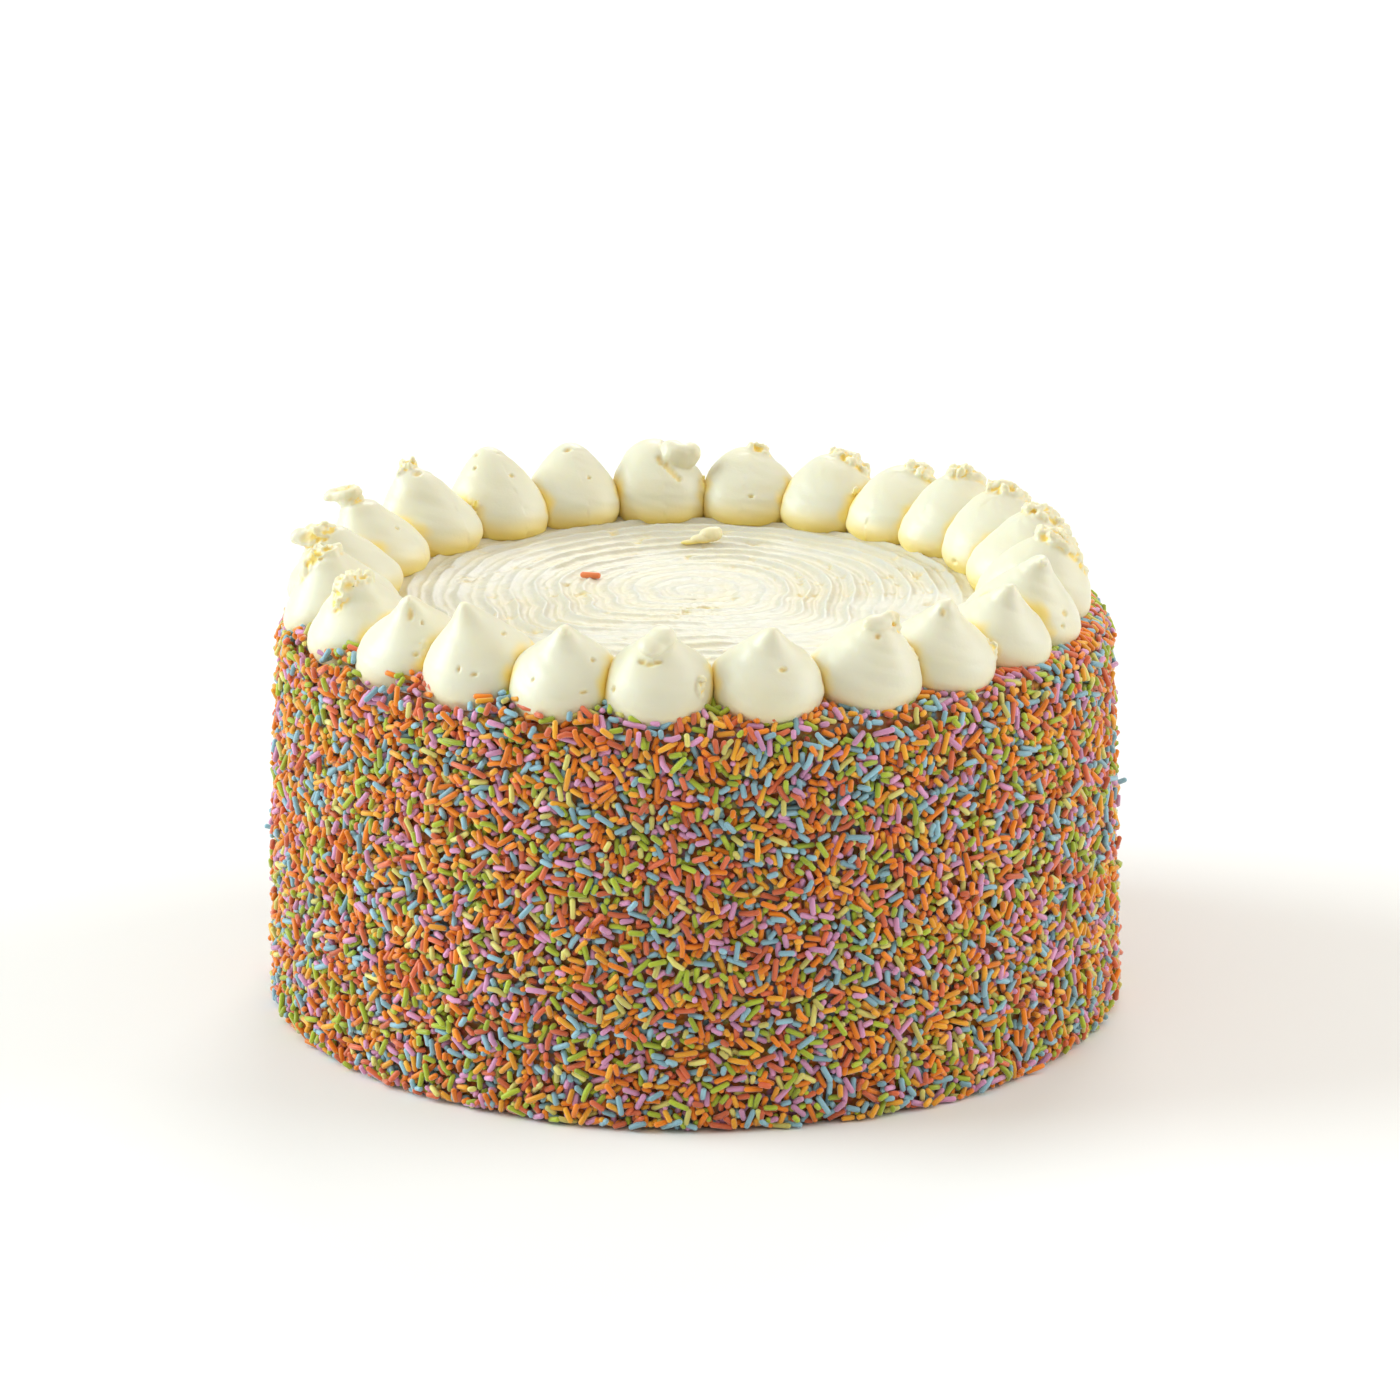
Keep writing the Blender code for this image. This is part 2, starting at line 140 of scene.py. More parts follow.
SECTION_OF = {
    **dict.fromkeys(PEAKED_TIPS, BELLY + PEAKED_FLANK + PEAKED_TOP),
    **dict.fromkeys(("flap", "round", "curl", "torn"), BELLY + DOME_FLANK + DOME_TOP),
    **dict.fromkeys(("broken", "blunt", "chipped"), BELLY + STEEP_FLANK + CONE_TOP),
    **dict.fromkeys(("outward_curl", "cupped", "crumbled"), BELLY + STEEP_FLANK + STUMP_TOP),
}


# Settings


def length_setting(name, description, default):
    return FloatProperty(name=name, description=description, default=default, unit="LENGTH", precision=5)


def colour_setting(name, description, default):
    return FloatVectorProperty(
        name=name, description=description, subtype="COLOR", size=3, default=default, min=0, max=1
    )


def light_setting(name, description, default):
    return FloatProperty(name=name, description=description, default=default, min=0)


def count_setting(name, description, default):
    return IntProperty(name=name, description=description, default=default, min=0)


class SideSettings(PropertyGroup):
    """The rod sprinkles on the side."""

    rod_count: count_setting("Rods laid", "Rod sprinkles laid on the side", 17100)
    end_count: count_setting("Rods on end", "Rod sprinkles pushed in end first before the others", 3900)
    fringe_count: count_setting("Rods at the rim", "More rod sprinkles heaped against the dollops", 3600)
    rod_radius: length_setting("Rod radius", "Radius of a rod sprinkle", 0.73 * MM)
    shortest: length_setting("Shortest rod", "Length of the shortest rod", 2.0 * MM)
    longest: length_setting("Longest rod", "Length of the longest rod", 6.2 * MM)
    bed_depth: length_setting("Bed depth", "How far under the solid's side the rods' bed lies", 1.5 * MM)
    seed: count_setting("Seed", "Seed of the rods' random places", 7)
    orange: colour_setting("Orange", "Orange rods", (0.93, 0.24, 0.008))
    amber: colour_setting("Amber", "Yellower orange rods", (0.95, 0.40, 0.025))
    green: colour_setting("Green", "Green rods", (0.42, 0.52, 0.035))
    blue: colour_setting("Blue", "Light blue rods", (0.28, 0.50, 0.60))
    lilac: colour_setting("Lilac", "Lilac rods", (0.70, 0.32, 0.54))
    coral: colour_setting("Coral", "Coral rods", (0.72, 0.155, 0.06))
    yellow: colour_setting("Yellow", "Pale yellow rods", (0.72, 0.66, 0.18))
    # Painted shade: the dark brown of the gaps between the rods.
    bed_shade: colour_setting("Bed", "Icing under the rods", (0.26, 0.10, 0.018))
    loose_colour: colour_setting("Loose rod", "The sprinkle that lies on the icing", (1.0, 0.27, 0.09))


# Share of each colour among the rods
COLOUR_SHARES = (
    ("orange", 0.17),
    ("amber", 0.15),
    ("green", 0.155),
    ("blue", 0.16),
    ("lilac", 0.155),
    ("coral", 0.14),
    ("yellow", 0.07),
)


class CreamSettings(PropertyGroup):
    """The buttercream on top and in the dollops."""

    cream: colour_setting("Cream", "Buttercream in the light", (0.80, 0.78, 0.625))
    # Painted shade: the same buttercream as the dollops, darker on the top, which the lamps light more
    # strongly.
    dimmed_top_cream: colour_setting("Combed cream", "Buttercream of the top in the light", (0.66, 0.65, 0.575))
    # Painted shade: the warm yellow of creases, holes, tears and comb troughs.
    shade_cream: colour_setting("Deep cream", "Buttercream in creases and tears", (1.0, 0.745, 0.15))
    # Painted shade: the deep orange-brown of the darkest corners between the dollops' feet.
    deepest_shade_cream: colour_setting("Foot cream", "Buttercream between the dollops' feet", (0.78, 0.35, 0.05))
    comb_pitch: length_setting("Comb pitch", "Distance between two comb lines", 5.9 * MM)
    comb_rise: length_setting("Comb rise", "Height of a comb line over its trough", 1.25 * MM)
    tear_depth: length_setting("Tear depth", "Depth of the torn marks in the middle", 0.8 * MM)
    dollop_voxel: length_setting("Dollop detail", "Size of a dollop's mesh cells", 0.45 * MM)
    seed: count_setting("Seed", "Seed of the cream's unevenness", 3)


class StageSettings(PropertyGroup):
    """Floor, light and camera."""

    floor_colour: colour_setting("Floor", "Floor colour", (0.93, 0.93, 0.93))
    room_light: light_setting("Room light", "Light from all round", 0.29)
    overhead_light: light_setting("Overhead light", "Wide soft light from above", 1.05)
    left_light: light_setting("Left light", "Soft light from the left", 2.8)
    back_light: light_setting("Back light", "Soft light from behind", 0.8)
    right_light: light_setting("Right light", "Soft light from the right", 1.4)
    camera_distance: length_setting("Camera distance", "Camera in front of the cake's axis", 1.26)
    camera_height: length_setting("Camera height", "Camera above the floor", 0.456)
    camera_shift_right: length_setting("Camera to the right", "Camera right of the cake's axis", 1.2 * MM)
    camera_pitch: FloatProperty(
        name="Camera pitch",
        description="Angle below the horizon",
        default=math.radians(16.94),
        unit="ROTATION",
    )
    lens: FloatProperty(name="Lens", description="Focal length in millimetres", default=138.9, min=10)


# Directions and surfaces


def outward(azimuth):
    """Unit vectors away from the axis at azimuths in radians, one row each."""
    azimuth = np.asarray(azimuth, float)
    return np.stack([np.sin(azimuth), -np.cos(azimuth), np.zeros_like(azimuth)], -1)


def around(azimuth):
    """Unit vectors round the ring at azimuths in radians, one row each."""
    azimuth = np.asarray(azimuth, float)
    return np.stack([np.cos(azimuth), np.sin(azimuth), np.zeros_like(azimuth)], -1)


def icing_level(radius):
    """Height of the top icing at a distance from the axis: level in the middle, falling towards the rim."""
    share = np.maximum(np.asarray(radius, float) - RIM_FALL_START, 0.0) / (RIM_RADIUS - RIM_FALL_START)
    return CAKE_HEIGHT - RIM_FALL * share**2


def side_radius(height):
    """Radius of the cake's side at a height: wide at the base and narrowing to the shoulder."""
    share = np.asarray(height, float) / CAKE_HEIGHT
    return BASE_RADIUS + (SHOULDER_RADIUS - BASE_RADIUS) * share**TAPER_CURVE


def smooth_step(value, low, high):
    """0 below low, 1 above high, and a smooth rise between them."""
    share = np.clip((np.asarray(value, float) - low) / (high - low), 0.0, 1.0)
    return share * share * (3 - 2 * share)


def fade(value, low, high):
    """1 below low, 0 above high, and a smooth fall between them."""
    return 1 - smooth_step(value, low, high)


def soft_limit(value, limit):
    """The value, eased so that it never passes the limit."""
    share = np.abs(value) / limit
    return np.copysign(limit * share / (1 + share**SQUEEZE_SHARPNESS) ** (1 / SQUEEZE_SHARPNESS), value)


def room_of(number):
    """Half the angles, in radians, between a dollop and the neighbours before and after it."""
    azimuth = DOLLOPS[number][0]
    before = (azimuth - DOLLOPS[number - 1][0]) % 360
    after = (DOLLOPS[(number + 1) % len(DOLLOPS)][0] - azimuth) % 360
    return math.radians(before) / 2, math.radians(after) / 2


def side_limit(number, round_ring, out):
    """How far a dollop may reach round the ring before it runs into its neighbour."""
    before, after = room_of(number)
    return (RING_RADIUS + out) * np.tan(np.where(round_ring < 0, before, after)) + SEAM_OVERLAP


def dollop_points(number, round_ring, out, up):
    """Points of a dollop in the cake's frame, resting on the icing and pressed in by its neighbours."""
    azimuth = math.radians(DOLLOPS[number][0])
    pressed = soft_limit(round_ring, side_limit(number, round_ring, out))
    points = outward(azimuth) * (RING_RADIUS + out)[:, None] + around(azimuth) * pressed[:, None]
    points[:, :2] += RING_CENTRE
    points[:, 2] = icing_level(np.hypot(points[:, 0], points[:, 1])) + up
    return points


def dollop_coordinates(number, points):
    """How far points in the cake's frame are round the ring, outward and up from a dollop's foot."""
    azimuth = math.radians(DOLLOPS[number][0])
    flat = points - np.array([*RING_CENTRE, 0.0])
    out = flat @ outward(azimuth) - RING_RADIUS
    round_ring = flat @ around(azimuth)
    up = points[:, 2] - icing_level(np.hypot(points[:, 0], points[:, 1]))
    return round_ring, out, up


# Meshes and objects


def new_object(name, mesh):
    """A new object for a mesh, in the scene's own collection."""
    made = bpy.data.objects.new(name, mesh)
    bpy.context.scene.collection.objects.link(made)
    return made


def mesh_of(name, points, faces):
    """A mesh with its points and faces given."""
    mesh = bpy.data.meshes.new(name)
    mesh.from_pydata([tuple(point) for point in points], [], [tuple(face) for face in faces])
    mesh.update()
    return mesh


def ring_faces(steps, rows):
    """Faces of a shape made of rings between a first and a last point."""
    faces = [(0, 1 + (i + 1) % steps, 1 + i) for i in range(steps)]
    for ring in range(rows - 1):
        low = 1 + ring * steps
        for i in range(steps):
            j = (i + 1) % steps
            faces.append((low + i, low + j, low + steps + j, low + steps + i))
    last = 1 + (rows - 1) * steps
    return faces + [(last + i, last + (i + 1) % steps, 1 + rows * steps) for i in range(steps)]


def bake_modifiers(obj):
    """Turns what the object's modifiers make into its own plain mesh."""
    obj.update_tag()
    bpy.context.view_layer.update()
    evaluated = obj.evaluated_get(bpy.context.evaluated_depsgraph_get())
    mesh = bpy.data.meshes.new_from_object(evaluated)
    obj.modifiers.clear()
    obj.data = mesh


def coordinates(mesh):
    flat = np.empty(len(mesh.vertices) * 3)
    mesh.vertices.foreach_get("co", flat)
    return flat.reshape(-1, 3)


def normals(mesh):
    flat = np.empty(len(mesh.vertices) * 3)
    mesh.vertices.foreach_get("normal", flat)
    return flat.reshape(-1, 3)


def set_coordinates(mesh, points):
    mesh.vertices.foreach_set("co", points.ravel())
    mesh.update()


def store(mesh, name, values):
    """Keeps one number for each point of a mesh, for its material or its node tree to read."""
    attribute = mesh.attributes.new(name, "FLOAT", "POINT")
    attribute.data.foreach_set("value", np.asarray(values, np.float32))


def store_vectors(mesh, name, values):
    attribute = mesh.attributes.new(name, "FLOAT_VECTOR", "POINT")
    attribute.data.foreach_set("vector", np.asarray(values, np.float32).ravel())


def settle(piece, slot, *nodes):
    """Hands a finished piece to the frame: its body and the solids it stands for. The slot is not used."""
    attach(piece, BODY)
    if nodes:
        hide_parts(*nodes)


# Node trees and materials


class TreeMaker:
    """Short calls for building a node tree."""

    def __init__(self, tree):
        self.tree = tree
        self.link = tree.links.new

    def fill(self, node, values):
        """Links a node's inputs or gives them values, by name or number."""
        for key, value in values.items():
            if isinstance(value, bpy.types.NodeSocket):
                self.link(value, node.inputs[key])
            else:
                node.inputs[key].default_value = value
        return node

    def node(self, kind, values=None, **options):
        """A new node with its options set and its inputs filled."""
        made = self.tree.nodes.new(kind)
        for key, value in options.items():
            setattr(made, key, value)
        return self.fill(made, values or {})

    def add_input(self, name, kind, default=None):
        """A named input of a node group."""
        socket = self.tree.interface.new_socket(name=name, in_out="INPUT", socket_type=kind)
        if default is not None:
            socket.default_value = default

    def given(self):
        """What the node group is given, once all its inputs are named."""
        self.tree.interface.new_socket(name="Geometry", in_out="OUTPUT", socket_type="NodeSocketGeometry")
        return self.node("NodeGroupInput").outputs

    def named(self, name, kind):
        """The attribute of this name on the geometry."""
        made = self.node("GeometryNodeInputNamedAttribute", {"Name": name}, data_type=kind)
        return made.outputs["Attribute"]

    def store(self, geometry, name, value):
        """The geometry with one number kept for each of its points."""
        values = {"Geometry": geometry, "Name": name, "Value": value}
        made = self.node("GeometryNodeStoreNamedAttribute", values, data_type="FLOAT", domain="POINT")
        return made.outputs[0]

    def end(self, geometry, material):
        """Gives the geometry its material and hands it out."""
        painted = self.node("GeometryNodeSetMaterial", {"Geometry": geometry, "Material": material})
        self.node("NodeGroupOutput", {"Geometry": painted.outputs[0]})
        return self.tree

    def math(self, operation, first, second=0.0):
        return self.node("ShaderNodeMath", {0: first, 1: second}, operation=operation).outputs[0]

    def plus(self, first, second):
        return self.math("ADD", first, second)

    def minus(self, first, second):
        return self.math("SUBTRACT", first, second)

    def times(self, product, *factors):
        for factor in factors:
            product = self.math("MULTIPLY", product, factor)
        return product

    def length(self, vector):
        return self.node("ShaderNodeVectorMath", {0: vector}, operation="LENGTH").outputs["Value"]

    def point(self, **values):
        return self.node("ShaderNodeCombineXYZ", values).outputs[0]

    def parts(self, vector):
        """X, Y and Z of a vector, by name."""
        return self.node("ShaderNodeSeparateXYZ", {0: vector}).outputs

    def ranged(self, value, low, high, to_low=0.0, to_high=1.0, kind="SMOOTHSTEP"):
        """The value moved from one range to another and kept in it."""
        values = {"Value": value, "From Min": low, "From Max": high, "To Min": to_low, "To Max": to_high}
        return self.node("ShaderNodeMapRange", values, interpolation_type=kind).outputs[0]

    def noise(self, place, scale, detail):
        return self.node("ShaderNodeTexNoise", {"Vector": place, "Scale": scale, "Detail": detail}).outputs[0]

    def mix(self, factor, first, second):
        """The colour between two others, each a socket or red, green and blue."""
        first, second = (c if isinstance(c, bpy.types.NodeSocket) else (*c, 1.0) for c in (first, second))
        made = self.node("ShaderNodeMix", {"Factor": factor, 6: first, 7: second}, data_type="RGBA")
        return made.outputs[2]

    def attribute(self, name):
        """What a material reads of a number kept on the mesh."""
        return self.node("ShaderNodeAttribute", attribute_name=name).outputs["Fac"]

    def bump(self, height, distance, strength):
        values = {"Height": height, "Distance": distance, "Strength": strength}
        return self.node("ShaderNodeBump", values).outputs["Normal"]


def new_material(name):
    """A material, the maker of its nodes, its shader, and the place on the object that its patterns read."""
    material = bpy.data.materials.new(name)
    material.use_nodes = True
    make = TreeMaker(material.node_tree)
    place = make.node("ShaderNodeTexCoord").outputs["Object"]
    return material, make, material.node_tree.nodes["Principled BSDF"], place


def cream_material(name, light, settings, grain_height=0.12 * MM):
    """Buttercream: soft and pale in the light, with painted shade in its creases, and a fine grain."""
    material, make, shader, place = new_material(name)
    warmth = make.ranged(make.noise(place, 90.0, 3.0), 0.35, 0.8, 0.0, 0.10)
    # Painted shade: crease mixes the cream towards warm yellow, and towards orange-brown in the deepest
    # corners.
    crease = make.attribute("crease")
    total = make.node("ShaderNodeMath", {0: warmth, 1: crease}, operation="ADD", use_clamp=True).outputs[0]
    colour = make.mix(total, light, settings.shade_cream)
    values = {
        "Base Color": make.mix(make.ranged(crease, 0.88, 1.0), colour, settings.deepest_shade_cream),
        "Roughness": 0.4,
        "Specular IOR Level": 0.5,
        "Subsurface Weight": 0.35,
        "Subsurface Radius": (1.0, 0.72, 0.3),
        "Subsurface Scale": 2.5 * MM,
        "Normal": make.bump(make.noise(place, 1400.0, 4.0), grain_height, 0.35),
    }
    make.fill(shader, values)
    return material


def rod_material(name, colour):
    """Sugar rods of one colour: a little lighter or deeper from rod to rod, with a soft sheen."""
    material, make, shader, place = new_material(name)
    pale = [min(c * 1.18, 1.0) for c in colour]
    deep = [c * 0.80 for c in colour]
    specks = make.noise(place, 2600.0, 2.0)
    values = {
        "Base Color": make.mix(make.attribute("tint"), deep, pale),
        "Roughness": make.ranged(specks, 0.3, 0.7, 0.30, 0.48),
        "Specular IOR Level": 0.3,
        "Subsurface Weight": 0.15,
        "Subsurface Radius": (1.0, 0.6, 0.4),
        "Subsurface Scale": 0.5 * MM,
        "Sheen Weight": 0.55,
        "Sheen Roughness": 0.45,
        "Normal": make.bump(specks, 0.05 * MM, 0.25),
    }
    make.fill(shader, values)
    return material


def bed_material(name, settings):
    """Painted shade in the gaps between the rods: darkened rod ends, and dark brown between them."""
    material, make, shader, place = new_material(name)
    cells = make.node("ShaderNodeTexVoronoi", {"Scale": 560.0, "Vector": place}).outputs
    pick = make.node("ShaderNodeSeparateColor", {"Color": cells["Color"]}).outputs[0]
    ramp = make.node("ShaderNodeValToRGB", {"Fac": pick})
    ramp.color_ramp.interpolation = "CONSTANT"
    reached = 0.0
    for number, (rod, share) in enumerate(COLOUR_SHARES):
        stop = ramp.color_ramp.elements[0] if number == 0 else ramp.color_ramp.elements.new(reached)
        # Painted shade: darkened copies of the rod colours for rod ends deep in the gaps.
        stop.color = (*[c * 0.55 for c in getattr(settings, rod)], 1.0)
        reached += share
    ramp.color_ramp.elements.remove(ramp.color_ramp.elements[-1])
    # Painted shade: the cells' edges go to the dark brown of the gaps.
    edge = make.ranged(cells["Distance"], 0.3, 0.75)
    height = make.ranged(cells["Distance"], 0.0, 0.7, 1.0, 0.0)
    values = {
        "Base Color": make.mix(edge, ramp.outputs["Color"], settings.bed_shade),
        "Roughness": 0.6,
        "Normal": make.bump(height, 0.7 * MM, 0.9),
    }
    make.fill(shader, values)
    return material


def floor_material(name, colour):
    """Plain matte paper, barely uneven."""
    material, make, shader, place = new_material(name)
    patches = make.mix(make.noise(place, 3.0, 2.0), colour, [c * 0.99 for c in colour])
    make.fill(shader, {"Base Color": patches, "Roughness": 0.9, "Specular IOR Level": 0.1})
    return material


# The sprinkles


class SidePath:
    """The line that the sprinkles' bed follows: up the side, over the shoulder and in under the dollops."""

    def __init__(self, bed_depth):
        heights = np.linspace(0.0, SIDE_TOP, 180)
        side = np.stack([side_radius(heights) - bed_depth, heights], 1)
        corner = side[-1, 0] - SHOULDER_ROUNDING
        bend = np.linspace(0.0, math.pi / 2, 10)[1:]
        curve = np.stack([np.cos(bend), np.sin(bend)], 1) * SHOULDER_ROUNDING
        shoulder = curve + (corner, SIDE_TOP)
        radii = np.linspace(corner, BED_INNER_END, 20)[1:]
        rim = np.stack([radii, icing_level(radii)], 1)
        self.points = np.concatenate([side, shoulder, rim])
        steps = np.hypot(*np.diff(self.points, axis=0).T)
        self.distance = np.concatenate([[0.0], np.cumsum(steps)])
        self.side_end = self.distance[len(side) - 1]
        self.end = self.distance[-1]

    def at(self, distance):
        """Radius and height at a distance along the line."""
        radius = np.interp(distance, self.distance, self.points[:, 0])
        height = np.interp(distance, self.distance, self.points[:, 1])
        return radius, height

    def slope(self, distance):
        """Unit direction of the line, as (radial, up)."""
        reach = 1.2 * MM
        r0, z0 = self.at(distance - reach)
        r1, z1 = self.at(distance + reach)
        length = np.hypot(r1 - r0, z1 - z0)
        return (r1 - r0) / length, (z1 - z0) / length


class Pile:
    """The height of the sprinkles already laid, on a fine grid over the unrolled side."""

    CELL = 0.4 * MM
    BLOCKED = 9.0 * MM
    FOOT = 0.84  # of a dollop's half width and length, where its foot meets the icing

    def __init__(self, path, reference_radius):
        self.path = path
        self.radius = reference_radius
        self.columns = int(2 * math.pi * reference_radius / self.CELL)
        self.rows = int(path.end / self.CELL)
        self.heights = np.zeros((self.rows, self.columns))
        self.block_dollops()

    def block_dollops(self):
        """Marks the cells under the dollops' feet, where no sprinkle can lie."""
        distance = (np.arange(self.rows) + 0.5) * self.CELL
        rows = np.nonzero(distance > self.path.side_end)[0]
        azimuth = np.arange(self.columns) / self.columns * 2 * math.pi
        radius, height = self.path.at(distance[rows])
        for row, r, z in zip(rows, radius, height):
            points = outward(azimuth) * r
            points[:, 2] = z
            for number in range(len(DOLLOPS)):
                round_ring, out, _ = dollop_coordinates(number, points)
                wide = round_ring / (DOLLOP_WIDTH / 2)
                long = out / (DOLLOP_LENGTH / 2)
                between = np.abs(round_ring) < side_limit(number, round_ring, out)
                self.heights[row, (np.hypot(wide, long) < self.FOOT) & between] = self.BLOCKED

    def under(self, u, v):
        """Heights at unrolled places. u runs round the cake and v along the path."""
        row = np.clip((v / self.CELL).astype(int), 0, self.rows - 1)
        column = (u / self.CELL).astype(int) % self.columns
        return self.heights[row, column]

    def rest(self, u, v, turn, half):
        """Where rods would come to rest: the height of each one's middle over the bed, and its slope."""
        along = np.linspace(-1, 1, 9)[None, :] * half[:, None]
        across = u[:, None] + along * np.cos(turn)[:, None]
        upward = v[:, None] + along * np.sin(turn)[:, None]
        heights = self.under(across, upward)
        pick = np.arange(len(u))
        left = heights[:, :4].argmax(1)
        right = 5 + heights[:, 5:].argmax(1)
        rise = heights[pick, right] - heights[pick, left]
        slope = np.clip(rise / (along[pick, right] - along[pick, left]), -0.5, 0.5)
        middle = (heights - slope[:, None] * along).max(1)
        return middle, slope

    def stamp(self, u, v, turn, half, middle, tilt, radius):
        """Raises the pile where a rod now lies."""
        reach = half * math.cos(tilt) + radius
        count = int(reach / self.CELL) + 1
        row = int(v / self.CELL)
        column = int(u / self.CELL)
        rows = np.arange(max(row - count, 0), min(row + count + 1, self.rows))
        columns = np.arange(column - count, column + count + 1)
        dv = (rows[:, None] + 0.5) * self.CELL - v
        du = (columns[None, :] + 0.5) * self.CELL - u
        along = du * math.cos(turn) + dv * math.sin(turn)
        flat_half = max((half - radius) * math.cos(tilt), 1e-6)
        nearest = np.clip(along, -flat_half, flat_half)
        off = np.hypot(du - nearest * math.cos(turn), dv - nearest * math.sin(turn))
        top = middle + nearest * math.tan(tilt) + np.sqrt(np.maximum(radius**2 - off**2, 0.0))
        window = np.ix_(rows, columns % self.columns)
        current = self.heights[window]
        free = (off < radius) & (current < self.BLOCKED)
        self.heights[window] = np.where(free, np.maximum(current, top), current)


# How high the rods are heaped on the rim, by azimuth in degrees
RIM_HEAPS = (
    (0.0, 1.5 * MM),
    (20.0, 0.6 * MM),
    (80.0, 0.3 * MM),
    (110.0, 1.0 * MM),
    (180.0, 1.5 * MM),
    (245.0, 1.6 * MM),
    (262.0, 0.6 * MM),
    (276.0, 0.6 * MM),
    (290.0, 4.0 * MM),
    (310.0, 4.8 * MM),
    (322.0, 3.6 * MM),
    (338.0, 3.0 * MM),
    (360.0, 1.5 * MM),
)


class Rods:
    """Rod sprinkles being laid: their places on the unrolled side, turns, tilts and half lengths."""

    TRIES = 9
    MOST_PILED = 2.7 * MM
    SINK = 0.86  # of a rod's radius, from what it rests on to its axis
    HEAP_FADE = 2.5 * MM  # over which the pile's limit goes over to that of the rim
    END_LONGEST = 0.62  # of the longest rod
    END_LEAN_DEG = (38, 84)
    END_SHOWN = (0.45, 0.95)  # of half a rod's length, up to its middle
    UPRIGHT_SHARE = 0.3
    UPRIGHT_SPREAD = 0.35
    COVER = 0.45  # of a rod's radius, that others may lie over it everywhere before it is left out
    FLOOR_GAP = 0.15 * MM

    def __init__(self, settings):
        self.draw = np.random.default_rng(settings.seed)
        self.radius = settings.rod_radius
        self.shortest = settings.shortest
        self.longest = settings.longest
        self.path = SidePath(settings.bed_depth)
        self.pile = Pile(self.path, BASE_RADIUS)
        self.laid = []

    def limit_at(self, u, v):
        """How high rods may lie: less on the rim, where the dollops' feet still have to show."""
        azimuth = np.degrees(u / BASE_RADIUS)
        heap = np.interp(azimuth, *np.array(RIM_HEAPS).T)
        share = smooth_step(v, self.path.side_end - self.HEAP_FADE, self.path.side_end)
        return self.MOST_PILED + (heap - self.MOST_PILED) * share

    def random_length(self, count, longest):
        """Lengths up to the longest, more of them short than long."""
        return self.shortest + (longest - self.shortest) * self.draw.beta(1.5, 2.2, count)

    def places(self, low, high):
        """Places to try, all round the cake and between two distances along the path."""
        u = self.draw.uniform(0, 2 * math.pi * BASE_RADIUS, self.TRIES)
        return u, self.draw.uniform(low, high, self.TRIES)

    def add(self, u, v, turn, half, middle, tilt):
        """Lays a rod, after moving it up the side until its lower end clears the floor."""
        drop = half * abs(math.sin(turn)) * math.cos(tilt) + self.radius
        v = max(v, drop + self.FLOOR_GAP)
        self.pile.stamp(u, v, turn, half, middle, tilt, self.radius)
        self.laid.append((u, v, turn, half, middle, tilt))

    def lay_lowest(self, u, v, turn):
        """Lays one rod where it comes to rest the lowest, unless the pile is high everywhere."""
        half = self.random_length(self.TRIES, self.longest) / 2
        middle, slope = self.pile.rest(u, v, turn, half)
        room = self.limit_at(u, v) - middle
        best = room.argmax()
        if room[best] >= 0:
            height = middle[best] + self.radius * self.SINK
            self.add(u[best], v[best], turn[best], half[best], height, math.atan(slope[best]))

    def push_in_ends(self, count):
        """Rods stuck in end first, before the rest. They show as dots between the rods that lie flat."""
        for _ in range(count):
            u, v = self.places(0.2 * MM, self.path.end - 0.6 * MM)
            low = self.pile.under(u, v)
            room = self.limit_at(u, v) / 2 - low
            best = room.argmax()
            if room[best] < 0:
                continue
            half = self.random_length(1, self.longest * self.END_LONGEST)[0] / 2
            tilt = math.radians(self.draw.uniform(*self.END_LEAN_DEG))
            middle = low[best] + half * math.sin(tilt) * self.draw.uniform(*self.END_SHOWN)
            self.add(u[best], v[best], self.draw.uniform(0, 2 * math.pi), half, middle, tilt)

    def lay_flat(self, count):
        """Rods that come to rest on the pile."""
        for _ in range(count):
            u, v = self.places(0.2 * MM, self.path.end - 0.6 * MM)
            self.lay_lowest(u, v, self.draw.uniform(0, 2 * math.pi, self.TRIES))

    def lay_fringe(self, count):
        """More rods along the rim, heaped up against the feet of the dollops, some of them on end."""
        for _ in range(count):
            u, v = self.places(self.path.side_end - 1.0 * MM, self.path.end - 0.1 * MM)
            upright = self.draw.random(self.TRIES) < self.UPRIGHT_SHARE
            steep = self.draw.normal(math.pi / 2, self.UPRIGHT_SPREAD, self.TRIES)
            any_way = self.draw.uniform(0, 2 * math.pi, self.TRIES)
            self.lay_lowest(u, v, np.where(upright, steep, any_way))

    def drop_hidden(self):
        """Leaves out rods that others cover from end to end."""
        kept = []
        for rod in self.laid:
            u, v, turn, half, middle, tilt = rod
            along = np.linspace(-1, 1, 7) * half * math.cos(tilt)
            cover = self.pile.under(u + along * math.cos(turn), v + along * math.sin(turn))
            top = middle + along * math.tan(tilt) + self.radius
            if (cover - top).min() < self.COVER * self.radius:
                kept.append(rod)
        self.laid = kept

    def in_cake(self):
        """Centres and unit directions in the cake's frame, and lengths."""
        u, v, turn, half, middle, tilt = np.array(self.laid).T
        azimuth = u / BASE_RADIUS
        radius, height = self.path.at(v)
        radial, up = self.path.slope(v)
        away, ring = outward(azimuth), around(azimuth)
        rising = away * radial[:, None] + UP * up[:, None]
        normal = away * up[:, None] - UP * radial[:, None]
        centre = away * radius[:, None]
        centre[:, 2] = height
        centre += normal * middle[:, None]
        flat = ring * np.cos(turn)[:, None] + rising * np.sin(turn)[:, None]
        along = flat * np.cos(tilt)[:, None] + normal * np.sin(tilt)[:, None]
        return centre, along, half * 2


